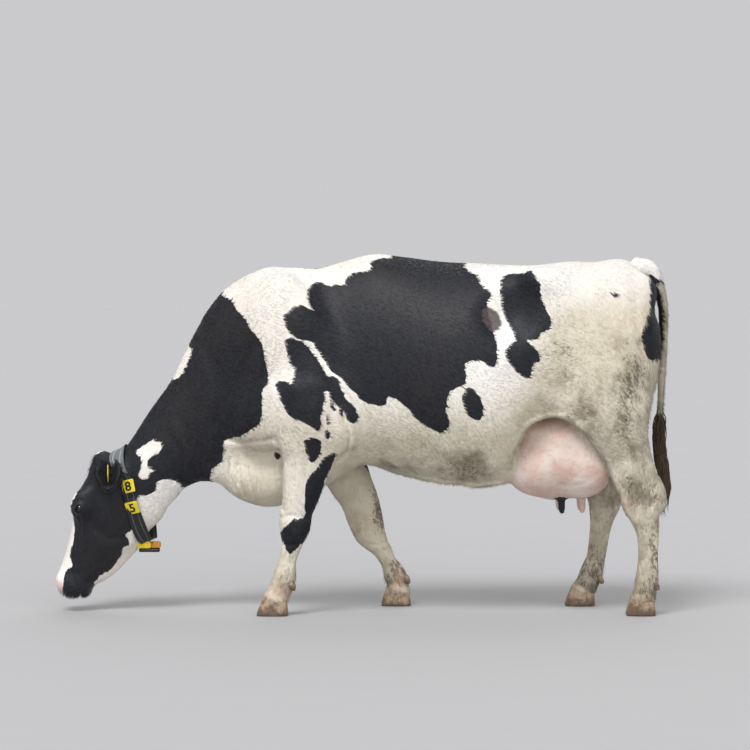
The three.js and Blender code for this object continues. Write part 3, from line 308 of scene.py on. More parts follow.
# Muscles and bones under the hide, on both sides: centre, radii, pitch, soft edge.
BODY_LUMPS = [
    ((-.29, .135, 1.06), (.14, .085, .33), -14, .12),      # shoulder blade
    ((-.20, .185, .86), (.17, .080, .16), 30, .09),        # upper arm
    ((-.43, .13, .82), (.09, .07, .12), 0, .10),           # point of the shoulder
    ((.735, .245, 1.375), (.07, .036, .038), 0, .10),      # hook bone
    ((.98, .195, 1.12), (.20, .085, .22), 15, .10),        # hip joint and rump muscle
    ((1.150, .125, 1.335), (.045, .045, .05), 0, .09),     # pin bone
    ((1.10, .14, 1.05), (.095, .10, .24), 0, .08),         # buttock
]
FLANK_HOLLOW = ((.60, .362, 1.27), (.10, .10, .11), 20, .10)
JOINT_LUMPS = [                # left and right centre, radii, pitch, soft edge
    (((-.095, -.225, .765), (-.03, .225, .765)), (.050, .05, .075), 0, .06),       # elbows
    (((.945, -.205, .87), (.865, .205, .87)), (.13, .07, .17), 30, .10),           # stifles
    (((1.208, -.18, .500), (1.070, .18, .535)), (.030, .028, .065), -12, .04),     # points of the hocks
]
# Lumps of the head, on both sides or in the middle: down the face, across, out of the face; radii; soft edge.
HEAD_LUMPS = [
    ((.212, .088, .010), (.052, .025, .039), .055),        # brow
    ((.26, .045, -.15), (.105, .036, .085), .07),          # cheek
    ((.40, .036, -.06), (.10, .026, .05), .05),            # cheekbone to lip
    ((.555, .036, -.035), (.038, .030, .052), .04),        # upper lip and wing of the nostril
    ((.045, .075, -.065), (.030, .028, .030), .05),        # root of the ear
    ((.012, 0, -.02), (.030, .055, .035), .05),            # poll
    ((.545, 0, -.100), (.034, .038, .019), .035),          # chin
]
TEATS = [(.815, .085), (.902, .06)]                        # along, across
TEAT = [(0, .50, .021), (.002, .455, .0175), (.003, .432, .0165), (.004, .417, .0120)]    # back, up, radius
UDDER_LUMPS = [                # centre, radii, pitch, soft edge
    ((.80, 0, .640), (.205, .232, .18), 0, .03),
    ((.91, .105, .615), (.12, .12, .135), 0, .05),
    ((.705, .112, .603), (.12, .112, .112), -10, .05),
    ((.80, .085, .735), (.175, .135, .085), 0, .06),
]
# The fold of the flank, on the side plane: the udder lies within it. On her right side it reaches less
# far back, by how much her right hind leg stands forward of the left one.
FLANK_FOLD = [(.50, .44), (.535, .56), (.575, .645), (.61, .712), (.65, .762), (.69, .793), (.74, .812),
              (.79, .816), (.85, .792), (.90, .745), (.94, .693), (.984, .623), (1.012, .56), (1.031, .513),
              (1.052, .46), (1.07, .38), (1.07, .20), (.50, .20)]
FOLD_CURVED = 15               # so many of its places lie on a curve
LEG_LEAD = .12
VEIN_RADIUS = .013
VEIN = [(.20, .012, .100), (.27, .004, .110), (.33, .000, .105), (.39, .005, .115), (.45, -.003, .108),
        (.51, .004, .118), (.56, -.005, .115), (.60, .000, .122), (.635, .004, .135)]    # x, inwards, across

# Outlines and lines are drawn on a side view of the animal: 240 units to the metre on her middle plane,
# as seen from twelve metres off, with x running from her head to her tail and y running down.
VIEW_UNITS, VIEW_FROM, VIEW_MIDDLE, VIEW_X, VIEW_Z = 2880, 12.0, (375, 280), .044, 1.38
LINE_ACROSS = .2               # how far from the middle plane the drawn lines lie


def side_line(places):
    scale = (VIEW_FROM - LINE_ACROSS) / VIEW_UNITS
    return np.array([(VIEW_X + (x - VIEW_MIDDLE[0]) * scale, VIEW_Z - (y - VIEW_MIDDLE[1]) * scale)
                     for x, y in places])


# Creases (and, with a depth below nought, ridges) of the hide: line, depth, width, and how far from the
# middle plane they start. First those drawn on the side view, then those of the legs, in metres.
VIEW_CREASES = [
    ([(222, 441), (240, 444), (262, 441), (275, 437)], .008, .010, .05),    # over the brisket
    ([(277, 440), (281, 456), (282, 480), (283, 510)], .010, .010, .10),    # front of the forearm
    ([(227, 460), (228, 475), (233, 491)], .0070, .0065, .02),              # folds of the brisket
    ([(236, 466), (238, 484), (243, 499)], .0075, .0070, .02),
    ([(246, 468), (249, 486), (254, 504)], .0065, .0065, .02),
    ([(258, 462), (262, 482), (267, 505)], .0030, .0080, .02),
    ([(256, 345), (247, 375), (237, 408), (226, 436)], .007, .032, .05),    # groove of the neck
    ([(200, 345), (214, 372), (222, 400), (216, 425)], .004, .030, .05),
    ([(344, 418), (350, 436), (347, 452), (337, 462)], .008, .011, .12),    # behind the elbow
    ([(316, 340), (328, 368), (341, 400)], .006, .030, .15),                # edge of the shoulder
    ([(290, 300), (283, 340), (280, 385), (288, 430)], .005, .034, .10),
    ([(152, 446), (160, 464), (170, 484)], .004, .011, .03),                # folds behind the jaw
    ([(164, 436), (176, 456), (186, 478)], .003, .013, .03),
    ([(176, 420), (189, 446), (200, 470)], .003, .016, .03),
    ([(350, 466), (372, 471), (392, 476)], .004, .010, .12),                # along the belly
    ([(556, 482), (569, 487), (583, 484), (594, 478)], .0035, .0055, .12),  # wrinkles of the udder
    ([(572, 476), (586, 479), (600, 472)], .0025, .0050, .12),
    ([(520, 440), (513, 456), (511, 470)], .004, .010, .10),
    ([(604, 300), (612, 330), (614, 365)], .006, .032, .10),                # before the hip joint
    ([(634, 300), (640, 345), (640, 400)], .005, .024, .08),                # along the buttock
    ([(548, 408), (528, 396), (512, 372)], .004, .022, .20),                # up from the flank's fold
    ([(612, 400), (616, 430), (624, 460)], .005, .020, .10),
]
LEG_CREASES = [
    ([(1.150, .62), (1.170, .56), (1.186, .505), (1.180, .455)], .010, .012, .10),  # hocks
    ([(1.030, .64), (1.046, .58), (1.056, .53), (1.046, .48)], .010, .012, .10),
    ([(1.185, .36), (1.191, .26), (1.184, .16)], .0050, .0070, .10),                # tendons
    ([(1.028, .36), (1.012, .28), (1.000, .21), (.978, .145)], .0050, .0070, .10),
    ([(-.282, .300), (-.297, .235), (-.313, .160)], .0050, .0070, .10),
    ([(.086, .240), (.119, .186), (.144, .138)], .0050, .0070, .10),
    ([(-.345, .408), (-.300, .416), (-.245, .404)], .0040, .0120, .10),             # knees
    ([(-.345, .300), (-.305, .292), (-.262, .304)], .0045, .0100, .10),
    ([(-.040, .372), (.010, .378), (.060, .366)], .0040, .0120, .10),
    ([(.010, .262), (.055, .262), (.095, .272)], .0045, .0100, .10),
]
CREASES = [(side_line(line), *sizes) for line, *sizes in VIEW_CREASES]
CREASES += [(np.array(line), *sizes) for line, *sizes in LEG_CREASES]
# The same on the head, by place down the face and out of it.
FACE_CREASES = [(np.array(line), *sizes) for line, *sizes in (
    ([(.448, -.094), (.480, -.104), (.520, -.101), (.560, -.090), (.592, -.076)], .0040, .0036, .0),
    ([(.255, -.030), (.295, -.080), (.315, -.140), (.300, -.210)], .0050, .0180, .05),  # cheek
    ([(.262, -.020), (.320, -.038), (.385, -.052)], -.0045, .0120, .04),                # cheekbone
    ([(.300, .004), (.380, -.004), (.460, -.012)], .0035, .0120, .03),
    ([(.196, .010), (.208, .026), (.232, .031), (.254, .022)], .0026, .0040, .05),      # over the eye
    ([(.188, .012), (.202, .036), (.236, .042)], .0020, .0045, .05),
    ([(.206, -.014), (.228, -.020), (.252, -.012)], .0026, .0040, .05),                 # under it
    ([(.252, .002), (.275, -.006), (.296, -.016)], .0030, .0045, .05),                  # tear line
    ([(.500, -.030), (.528, -.044), (.548, -.062)], .0030, .0060, .03),                 # lip
    ([(.420, -.120), (.450, -.150), (.470, -.168)], .0030, .0070, .02),
    ([(.080, -.090), (.130, -.150), (.170, -.205)], .0040, .0120, .04),                 # behind the jaw
)]

fold_steps = np.linspace(0, FOLD_CURVED - 1, 3 * FOLD_CURVED - 2)
FOLD_LINE = smooth_curve(np.arange(len(FLANK_FOLD)), FLANK_FOLD, fold_steps).tolist()
FOLD_LINE += FLANK_FOLD[FOLD_CURVED:]


def on_head(down, front, y):
    return POLL + FACE_DOWN * down + FACE_FRONT * front + np.array((0, y, 0))


def head_lump(at, radii):
    down, y, front = at
    return Lump(on_head(down, front, y), radii, turn=HEAD_TURN)


def both_sides(at):
    """A place and its image on the other side, or itself alone if it is on the middle plane."""
    x, y, z = at
    return [(x, side * y, z) for side in ((-1, 1) if y else (1,))]


def from_line(line, at):
    """The distance of each place from an open line."""
    best = np.full(len(at), 1e9)
    for a, b in zip(line[:-1], line[1:]):
        ab, aq = b - a, at - a
        t = np.clip((aq @ ab) / (ab @ ab + 1e-12), 0, 1)
        best = np.minimum(best, ((aq - t[:, None] * ab) ** 2).sum(1))
    return np.sqrt(best)


def from_outline(outline, at):
    """The distance of each place outside a closed outline: below nought inside it."""
    line = np.array([*outline, outline[0]], float)
    inside = np.zeros(len(at), bool)
    for a, b in zip(line[:-1], line[1:]):
        crosses = (a[1] > at[:, 1]) != (b[1] > at[:, 1])
        inside ^= crosses & (at[:, 0] < (b[0] - a[0]) * (at[:, 1] - a[1]) / (b[1] - a[1] + 1e-12) + a[0])
    return np.where(inside, -1, 1) * from_line(line, at)


def fold_distance(p):
    """How far outside the fold of the flank each point lies, on the side plane."""
    lead = np.where(p[:, 1] > 0, LEG_LEAD, 0) * smooth(p[:, 0], .62, .78)
    return from_outline(FOLD_LINE, np.stack([p[:, 0] + lead, p[:, 2]], 1))


def under_flank(p, f):
    """The body with the room for the udder carved out under the fold of the flank."""
    x, z = p[:, 0], p[:, 2]
    near = np.flatnonzero((x > .48) & (x < 1.12) & (z < .90) & (z > .36) & (f < REACH))
    if len(near):
        q = p[near]
        room = fold_distance(q)
        rim = .007 * smooth(q[:, 0], .60, .70) * smooth(np.abs(q[:, 1]), .15, .20)
        body = f[near] - rim * np.exp(-((room - .012) / .010) ** 2)
        f[near] = smax(body, -room - .09 * smooth(.67 - q[:, 0], 0, .15), .014)
    return f


def solid_distance(p):
    """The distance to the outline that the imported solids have."""
    c = Clay(p)
    c.add(TRUNK, .01)
    c.add(NECK, .10)
    c.add(DEWLAP, .06)
    for at, radii, pitch, edge in BODY_LUMPS:
        for place in both_sides(at):
            c.add(Lump(place, radii, pitch), edge)
    at, radii, pitch, edge = FLANK_HOLLOW
    for place in both_sides(at):
        c.cut(Lump(place, radii, pitch), edge)
    for name, leg in LEGS.items():
        c.add(leg, .07 if name.startswith("fore") else .08)
    for places, radii, pitch, edge in JOINT_LUMPS:
        for place in places:
            c.add(Lump(place, radii, pitch), edge)
    c.f = under_flank(p, c.f)
    udder = Clay(p)
    for at, radii, pitch, edge in UDDER_LUMPS:
        for place in both_sides(at):
            udder.add(Lump(place, radii, pitch), edge)
    c.f = smin(c.f, udder.f, .012 + .06 * smooth(.69 - p[:, 0], 0, .12))
    for x, y in TEATS:
        for side in (-1, 1):
            c.add(Tube([(x + back, side * y, up, radius, radius) for back, up, radius in TEAT]), .02)
    c.add(HEAD, .06)
    for at, radii, edge in HEAD_LUMPS:
        for place in both_sides(at):
            c.add(head_lump(place, radii), edge)
    c.add(TAIL, .012)
    return c.f


# ------------------------------------------------------------ details of the living surface
EYE_DOWN, EYE_FRONT, EYE_RADIUS, EYE_BULGE = .226, .006, .020, .006
LID = 0.0042                   # how far the lids stand off the ball
GAZE_DOWN, GAZE_FRONT = .10, .30     # the eye looks out, a little along the face and a little ahead
NOSTRIL = (.566, .030, -.006)        # down the face, across, out of it


def pressed(lines, at, across):
    """How deep the creases are pressed in at each place."""
    depth = np.zeros(len(at))
    for line, deepest, width, start in lines:
        near = in_box(at, line.min(0), line.max(0), 2.6 * width)
        if len(near):
            share = smooth(across[near], start - .02, start + .01) if start else 1
            depth[near] += deepest * share * np.exp(-(from_line(line, at[near]) / width) ** 2)
    return depth


def creased(p, f):
    shell = np.flatnonzero(np.abs(f) < .035)
    q = p[shell]
    depth = pressed(CREASES, q[:, [0, 2]], np.abs(q[:, 1]))
    head = np.flatnonzero((q[:, 0] < -.93) & (q[:, 2] < .70))
    if len(head):
        h = q[head] - POLL
        depth[head] += pressed(FACE_CREASES, np.stack([h @ FACE_DOWN, h @ FACE_FRONT], 1), np.abs(h[:, 1]))
    f[shell] += depth
    return f


def vein(side):
    """The milk vein, winding under the belly from the udder."""
    rows = []
    for x, inwards, across in VEIN:
        waist, bottom, width = TRUNK.waist(x), TRUNK.bottom(x), TRUNK.width(x)
        z = waist - (waist - bottom) * math.sqrt(1 - (across / width) ** 2)
        rows.append((x, side * across, z + inwards, VEIN_RADIUS, VEIN_RADIUS))
    return Tube(rows)


VEINS = [vein(side) for side in (-1, 1)]


def outward_y(down, front):
    """How far from the middle plane the head's surface lies."""
    y = np.arange(.04, .14, .0005)
    d = solid_distance(np.array([on_head(down, front, v) for v in y]))
    return y[np.flatnonzero(d >= 0)[0]]


EYE_Y = outward_y(EYE_DOWN, EYE_FRONT) - EYE_RADIUS + EYE_BULGE


def eye_axes(side):
    """The eye's centre, the way it looks, and the ways along and across its slit."""
    out = unit(FACE_DOWN * GAZE_DOWN + FACE_FRONT * GAZE_FRONT + np.array((0, side, 0)))
    level = unit(FACE_DOWN - out * (FACE_DOWN @ out))
    return on_head(EYE_DOWN, EYE_FRONT, side * EYE_Y), out, level, np.cross(out, level)


def lids(p, side):
    """A shell over the eyeball, and its opening: an almond along the face."""
    centre, out, level, high = eye_axes(side)
    q = p - centre
    almond = np.sqrt((q @ level) ** 2 + (np.abs(q @ high) + .0105) ** 2) - .0205
    return np.linalg.norm(q, axis=1) - (EYE_RADIUS + LID), np.maximum(almond, -(q @ out))


def close_to(p, place, reach):
    return np.flatnonzero(np.linalg.norm(p - place, axis=1) < reach)


def living_distance(p):
    """The skin: inside the solids by the coat's depth, with lids, nostrils and lips."""
    c = Clay(p)
    c.f = solid_distance(p)
    for tube in VEINS:
        c.add(tube, .014)
    f = creased(p, c.f + COAT)
    down, across, front = NOSTRIL
    for side in (-1, 1):
        i = close_to(p, eye_axes(side)[0], .08)
        if len(i):
            ball, opening = lids(p[i], side)
            f[i] = smax(smin(f[i], ball, .016), -opening, .004)
        i = close_to(p, on_head(down, front, side * across), .06)
        if len(i):
            wing = head_lump((down + .001, side * across, front - .001), (.021, .018, .016))
            hole = head_lump((down, side * (across + .008), front), (.012, .012, .0075))
            f[i] = smax(smin(f[i], wing.distance(p[i]), .012), -hole.distance(p[i]), .006)
    return f


# ------------------------------------------------------------ the skin's mesh
GRAIN = 1.09                   # the grid is this much coarser than its rows say


def graded(stops):
    """Grid lines from (place, spacing) rows, the spacing changing evenly between them."""
    places, spacings = zip(*stops)
    lines = [places[0]]
    while lines[-1] < places[-1]:
        lines.append(lines[-1] + GRAIN * np.interp(lines[-1], places, spacings))
    return np.array(lines)


GRID_X = graded([(-1.345, .0055), (-1.208, .0055), (-1.202, .0030), (-1.152, .0030), (-1.145, .0060),
                 (-1.0, .0078), (-.6, .0125), (.7, .0125), (1.19, .0110), (1.205, .0060), (1.275, .0060)])
HALF_Y = graded([(.0, .0082), (.075, .0080), (.08, .0034), (.122, .0034), (.13, .0082), (.24, .0088),
                 (.395, .0135)])
GRID_Y = np.concatenate([-HALF_Y[:0:-1], HALF_Y])
GRID_Z = graded([(.034, .0066), (.16, .0066), (.402, .0086), (.408, .0034), (.460, .0034), (.468, .0086),
                 (.70, .0095), (.82, .0095), (.90, .0130), (1.51, .0130)])
GRIDS = GRID_X, GRID_Y, GRID_Z
COARSE = 4                     # grid lines to a block when looking for the surface
AT_ONCE = 300000               # points worked out together, for memory


def block_corners(field):
    """The field at each of the eight corners of its blocks."""
    return [field[tuple(slice(o, n - 1 + o) for o, n in zip(c, field.shape))] for c in np.ndindex(2, 2, 2)]


def sampled(distance, grids):
    """The distance at each grid point near the surface, and only its sign elsewhere."""
    stops = [np.unique(np.append(np.arange(0, len(s), COARSE), len(s) - 1)) for s in grids]
    coarse = [s[i] for s, i in zip(grids, stops)]
    rough = distance(np.stack(np.meshgrid(*coarse, indexing="ij"), -1).reshape(-1, 3))
    rough = rough.reshape([len(s) for s in coarse])
    sizes = np.meshgrid(*map(np.diff, coarse), indexing="ij")
    reach = 0.8 * np.sqrt(sum(s**2 for s in sizes))
    corners = block_corners(rough)
    lowest, highest = np.minimum.reduce(corners), np.maximum.reduce(corners)
    crossed = (lowest < reach) & (highest > -reach)
    field = np.full([len(s) for s in grids], FAR, np.float32)
    wanted = np.zeros(field.shape, bool)
    for blocks, target, value in (((highest < 0) & ~crossed, field, -FAR), (crossed, wanted, True)):
        for block in np.argwhere(blocks):
            span = [slice(s[b], s[b + 1] + 1) for s, b in zip(stops, block)]
            target[tuple(span)] = value
    index = np.argwhere(wanted)
    points = np.stack([s[i] for s, i in zip(grids, index.T)], 1)
    parts = [distance(part) for part in np.array_split(points, max(1, len(points) // AT_ONCE))]
    field[wanted] = np.concatenate(parts)
    return field


def surface_nets(field, grids):
    """Points and quads of the zero surface, with one point in each grid cell that it crosses."""
    inside = field < 0
    n = field.shape
    count = sum(corner.astype(np.int8) for corner in block_corners(inside))
    cells = np.argwhere((count > 0) & (count < 8))
    number = np.full(count.shape, -1, np.int64)
    number[tuple(cells.T)] = np.arange(len(cells))
    total, hits = np.zeros((len(cells), 3)), np.zeros(len(cells))
    corner = {c: field[tuple((cells + c).T)] for c in np.ndindex(2, 2, 2)}
    for axis in range(3):
        for c in np.ndindex(2, 2, 2):
            if c[axis]:
                continue
            d = tuple(1 if a == axis else v for a, v in enumerate(c))
            a, b = corner[c], corner[d]
            m = (a < 0) != (b < 0)
            at = np.tile(np.array(c, float), (m.sum(), 1))
            at[:, axis] = a[m] / (a[m] - b[m])
            total[m] += at
            hits[m] += 1
    place = cells + total / hits[:, None]
    points = np.stack([np.interp(place[:, a], np.arange(n[a]), s) for a, s in enumerate(grids)], 1)
    quads = []
    for axis in range(3):
        low, high = [slice(None)] * 3, [slice(None)] * 3
        low[axis], high[axis] = slice(0, -1), slice(1, None)
        before, after = inside[tuple(low)], inside[tuple(high)]
        b, c = (axis + 1) % 3, (axis + 2) % 3
        crossing = np.argwhere(before != after)
        kept = (crossing[:, b] > 0) & (crossing[:, c] > 0)
        kept &= (crossing[:, b] < n[b] - 1) & (crossing[:, c] < n[c] - 1)
        crossing = crossing[kept]
        steps = np.eye(3, dtype=int)
        back = steps[b] + steps[c], steps[c], 0 * steps[b], steps[b]
        quad = np.stack([number[tuple((crossing - o).T)] for o in back], 1)
        flip = ~before[tuple(crossing.T)]
        quad[flip] = quad[flip][:, ::-1]
        quads.append(quad)
    return points, np.concatenate(quads)


SLOPE_STEP = 0.002


def drawn_on(distance, p):
    """The points moved onto the surface, in two steps."""
    for _ in range(2):
        ways = np.eye(3) * SLOPE_STEP
        g = np.stack([(distance(p + d) - distance(p - d)) / (2 * SLOPE_STEP) for d in ways], 1)
        size = np.maximum((g**2).sum(1), .05)
        step = np.clip(distance(p) / size, -.004, .004)
        p = p - g * step[:, None]
    return p


net_points, skin_quads = surface_nets(sampled(living_distance, GRIDS), GRIDS)
skin_points = drawn_on(living_distance, net_points)

# ------------------------------------------------------------ markings
def on_view(p):
    x, z = p[:, 0] - VIEW_X, VIEW_Z - p[:, 2]
    scale = VIEW_UNITS / (VIEW_FROM - np.abs(p[:, 1]))
    return np.stack([VIEW_MIDDLE[0] + x * scale, VIEW_MIDDLE[1] + z * scale], 1)


A_METRE = VIEW_UNITS / VIEW_FROM
OUTSIDE = 14.0                 # how far outside a patch its distance is worked out, in units
ROUNDING = 3                   # places on a patch's line for each corner of its outline


def rounded(outline):
    """A closed smooth line through the corners of an outline."""
    v = np.array(outline, float)
    before, after, beyond = np.roll(v, 1, 0), np.roll(v, -1, 0), np.roll(v, -2, 0)
    parts = []
    for t in np.arange(ROUNDING) / ROUNDING:
        parts.append(0.5 * (2 * v + (after - before) * t + (2 * before - 5 * v + 4 * after - beyond) * t**2
                            + (3 * v - before - 3 * after + beyond) * t**3))
    return np.stack(parts, 1).reshape(-1, 2)


def depth_in(outline, at):
    """How deep each place lies inside a patch: below nought outside it."""
    line = rounded(outline)
    depth = np.full(len(at), -OUTSIDE)
    near = in_box(at, line.min(0), line.max(0), OUTSIDE)
    depth[near] = np.maximum(-from_outline(line, at[near]), -OUTSIDE)
    return depth


NECK_BLACK = [
    (222, 296), (230, 299), (237, 310), (246, 320), (250, 329), (261, 342), (265, 361), (268, 380),
    (262, 393), (261, 420), (252, 429), (238, 437), (224, 441), (222, 460), (212, 468), (209, 481),
    (200, 505), (150, 570), (90, 620), (48, 612), (40, 560), (56, 480), (88, 436), (140, 390), (180, 310),
    (212, 284)]
NECK_WHITES = [
    [(182, 489), (171, 481), (162, 480), (155, 484), (155, 491), (145, 496), (138, 496), (134, 505),
     (135, 520), (132, 529), (125, 535), (128, 539), (128, 545), (122, 549), (121, 555), (116, 562),
     (111, 569), (100, 576), (97, 579), (94, 584), (93, 590), (96, 600), (112, 600), (150, 572),
     (184, 520)],
    [(135, 452), (142, 447), (149, 442), (154, 441), (160, 443), (160, 451), (157, 455), (151, 457),
     (147, 462), (148, 468), (153, 471), (148, 474), (147, 479), (142, 480), (138, 476), (140, 469),
     (141, 460)],
    [(197, 327), (187, 345), (191, 348), (188, 361), (179, 377), (171, 379), (158, 372), (180, 330)]]
LEFT_BLACKS = [
    NECK_BLACK,
    [(286, 339), (300, 341), (307, 347), (314, 355), (325, 371), (326, 375), (336, 378), (341, 387),
     (346, 400), (354, 407), (358, 416), (355, 423), (348, 421), (343, 410), (336, 405), (330, 396),
     (327, 391), (324, 392), (325, 401), (321, 410), (321, 423), (317, 432), (309, 426), (300, 421),
     (289, 416), (282, 403), (278, 394), (275, 385), (279, 381), (286, 382), (291, 384), (294, 371),
     (289, 362), (287, 353), (285, 346)],
    [(304, 442), (308, 439), (312, 437), (317, 439), (321, 442), (321, 448), (319, 455), (315, 461),
     (312, 464), (308, 459), (305, 450)],
    [(336, 454), (327, 456), (321, 461), (316, 469), (310, 476), (306, 486), (305, 499), (304, 507),
     (305, 515), (299, 520), (294, 518), (288, 525), (281, 531), (281, 539), (285, 546), (288, 553),
     (293, 553), (302, 543), (309, 532), (312, 518), (319, 499), (327, 476)],
    [(307, 301), (307, 292), (311, 285), (318, 282), (329, 286), (334, 284), (343, 285), (348, 276),
     (357, 272), (370, 269), (371, 262), (382, 258), (394, 256), (420, 240), (452, 244), (462, 261),
     (465, 270), (475, 275), (480, 285), (490, 291), (491, 297), (487, 302), (487, 312), (493, 331),
     (497, 346), (496, 364), (491, 368), (481, 361), (471, 361), (465, 364), (466, 381), (460, 387),
     (450, 392), (447, 401), (447, 412), (449, 426), (443, 432), (441, 433), (429, 428), (416, 419),
     (409, 410), (405, 406), (389, 396), (384, 406), (371, 404), (361, 400), (354, 392), (346, 384),
     (339, 376), (331, 371), (323, 359), (318, 351), (311, 342), (300, 340), (293, 337), (287, 330),
     (283, 317), (286, 314), (296, 305), (305, 307), (311, 310)],
    [(501, 278), (510, 274), (520, 274), (530, 271), (534, 276), (539, 285), (542, 301), (548, 313),
     (551, 323), (548, 330), (540, 333), (539, 339), (533, 340), (525, 339), (533, 346), (539, 353),
     (540, 361), (533, 364), (531, 376), (525, 378), (518, 374), (511, 365), (506, 359), (505, 351),
     (511, 344), (515, 339), (511, 329), (506, 319), (501, 306), (500, 293)],
    [(465, 389), (471, 388), (479, 396), (483, 409), (481, 419), (473, 419), (465, 411), (462, 399)],
    [(329, 398), (333, 402), (335, 411), (331, 410)],
    [(339, 405), (343, 409), (342, 417), (339, 413)],
    [(325, 412), (328, 417), (330, 427), (327, 427)],
    [(325, 429), (329, 431), (329, 440), (325, 437)],
    [(273, 454), (277, 452), (281, 456), (278, 460)],
    [(649, 275), (657, 279), (676, 286), (676, 340), (664, 356), (652, 360), (647, 357), (643, 346),
     (641, 336), (645, 323), (649, 310), (650, 290)],
    [(609, 292), (616, 293.4), (622, 297), (614, 296.2)]]
LEFT_BROWN = [(483, 309), (489, 308), (495, 311), (500, 317), (501, 325), (497, 331), (491, 332), (486, 326),
              (481, 317)]
RIGHT_BLACKS = [
    [(222, 292), (232, 296), (244, 306), (256, 322), (266, 340), (268, 362), (262, 384), (266, 404),
     (258, 424), (244, 436), (228, 444), (218, 458), (214, 474), (209, 490)] + NECK_BLACK[16:],
    [(276, 300), (282, 276), (288, 262), (300, 250), (330, 246), (343, 256), (350, 272), (342, 296),
     (322, 316), (306, 336), (296, 352), (284, 344), (278, 322)],
    [(366, 268), (380, 258), (394, 250), (420, 240), (452, 244), (464, 262), (478, 276), (498, 288),
     (516, 306), (524, 332), (512, 356), (492, 366), (478, 386), (468, 410), (448, 424), (424, 420),
     (404, 404), (392, 384), (372, 372), (352, 356), (344, 334), (352, 308), (362, 290)],
    [(548, 296), (562, 288), (584, 300), (596, 322), (590, 346), (572, 360), (554, 350), (544, 326)],
    [(286, 392), (304, 384), (326, 392), (338, 412), (330, 440), (312, 452), (296, 436), (284, 412)],
    [(632, 272), (650, 268), (664, 282), (662, 316), (650, 340), (634, 336), (624, 312), (626, 288)],
    [(352, 440), (366, 444), (374, 462), (377, 482), (370, 480), (363, 470), (356, 460)]]
BLAZE = Table([                # half width of the white down the face
    (0, .030), (.03, .034), (.08, .018), (.16, .016), (.22, .026), (.30, .040), (.36, .046), (.45, .043),
    (.50, .052), (.55, .050), (.60, .046)])
BLAZE_SIDE = Table([           # all in front of this is white
    (0, .05), (.071, .018), (.116, .023), (.174, .037), (.24, .048), (.30, .018), (.36, .004),
    (.44, -.004), (.468, -.017), (.495, -.003), (.55, -.002), (.60, -.012)])
BLAZE_BACK = Table([(0, -.012), (.05, -.016), (.12, -.055), (.60, -.055)])     # and none behind this


def head_place(p):
    """Down the face, out of it, and whether a point belongs to the head."""
    q = p - POLL
    down, front = q @ FACE_DOWN, q @ FACE_FRONT
    belongs = smooth(down, -.05, -.02) * smooth(front, -.42, -.34) * smooth(-p[:, 0], .93, .97)
    return down, front, belongs


def deepest_in(outlines, at):
    return np.max([depth_in(outline, at) for outline in outlines], 0)


def black_of(p):
    """How deep a point lies inside the black, in metres on the side view."""
    at = on_view(p)
    share = smooth(p[:, 1], -.035, .035)
    sides = deepest_in(LEFT_BLACKS, at) * (1 - share) + deepest_in(RIGHT_BLACKS, at) * share
    black = np.minimum(sides, -deepest_in(NECK_WHITES, at)) / A_METRE
    down, front, belongs = head_place(p)
    blaze = np.maximum(BLAZE(down) - np.abs(p[:, 1]), front - BLAZE_SIDE(down))
    face_black = np.maximum(-blaze, BLAZE_BACK(down) - front)
    return np.where((belongs > .5) & (front > BLAZE_BACK(down) - .03), np.minimum(black, face_black), black)


def spot(p, x, z, across, high, y=None, wide=.1):
    """A soft round weight at a place on the side view, and at a depth if one is given."""
    d = ((p[:, 0] - x) / across) ** 2 + ((p[:, 2] - z) / high) ** 2
    if y is not None:
        d = d + ((p[:, 1] - y) / wide) ** 2
    return np.exp(-d)


def spots(p, rows):
    return sum(weight * spot(p, *row) for weight, *row in rows)


def udder_of(p):
    """Bare pink skin: the udder, within the fold of the flank, and the teats."""
    ahead = .05 * smooth(.70 - p[:, 0], 0, .12)
    return smooth(-fold_distance(p), -.002 + ahead, .008 + 2 * ahead) * smooth(.30 - np.abs(p[:, 1]), 0, .02)


def lower_of(p):
    """Where the legs' own lie of the coat holds."""
    return smooth(.72 - p[:, 2], 0, .16) * smooth(p[:, 0], -.62, -.50)


# Spots are rows of weight, then what spot() is given. The first two turn a band low on the belly creamier
# and darker; the others stain a hock, a knee and a thigh.
STAINS = [(.75, .40, .62, .16, .09), (.5, .15, .62, .2, .06), (.5, 1.13, .48, .09, .12),
          (.35, .0, .30, .08, .10, .185, .08), (.5, 1.12, .82, .08, .30)]
# Where the skin shows pink through thin hair: fetlocks, a rubbed hock, the brisket's foot.
BARE_SPOTS = [
    (.9, -.345, .10, .05, .05, -.185), (.9, .145, .11, .03, .04, .185), (.9, 1.075, .445, .025, .05, -.18),
    (.7, 1.155, .10, .03, .05, -.18), (.35, -.52, .50, .08, .04)]
# Where dark specks and smears of dried mud lie.
MUD_SPOTS = [
    (1.1, .075, .42, .045, .13, .185), (1.5, .155, .145, .05, .07, .185), (.8, 1.19, .26, .03, .16, -.18),
    (.8, .965, .14, .09, .11, .18), (.55, -.30, .15, .05, .07, -.185), (.7, 1.17, .10, .07, .05, -.18),
    (.6, 1.06, .83, .05, .22, -.25, .2), (.55, 1.185, .53, .05, .09, -.18),
    (.6, .41, .59, .10, .05, -.25, .2), (.45, .86, .84, .10, .05, -.28, .2), (.5, 1.13, .98, .07, .16),
    (.35, .80, 1.08, .14, .10, -.3, .2), (.45, 1.09, .56, .05, .05, -.2)]


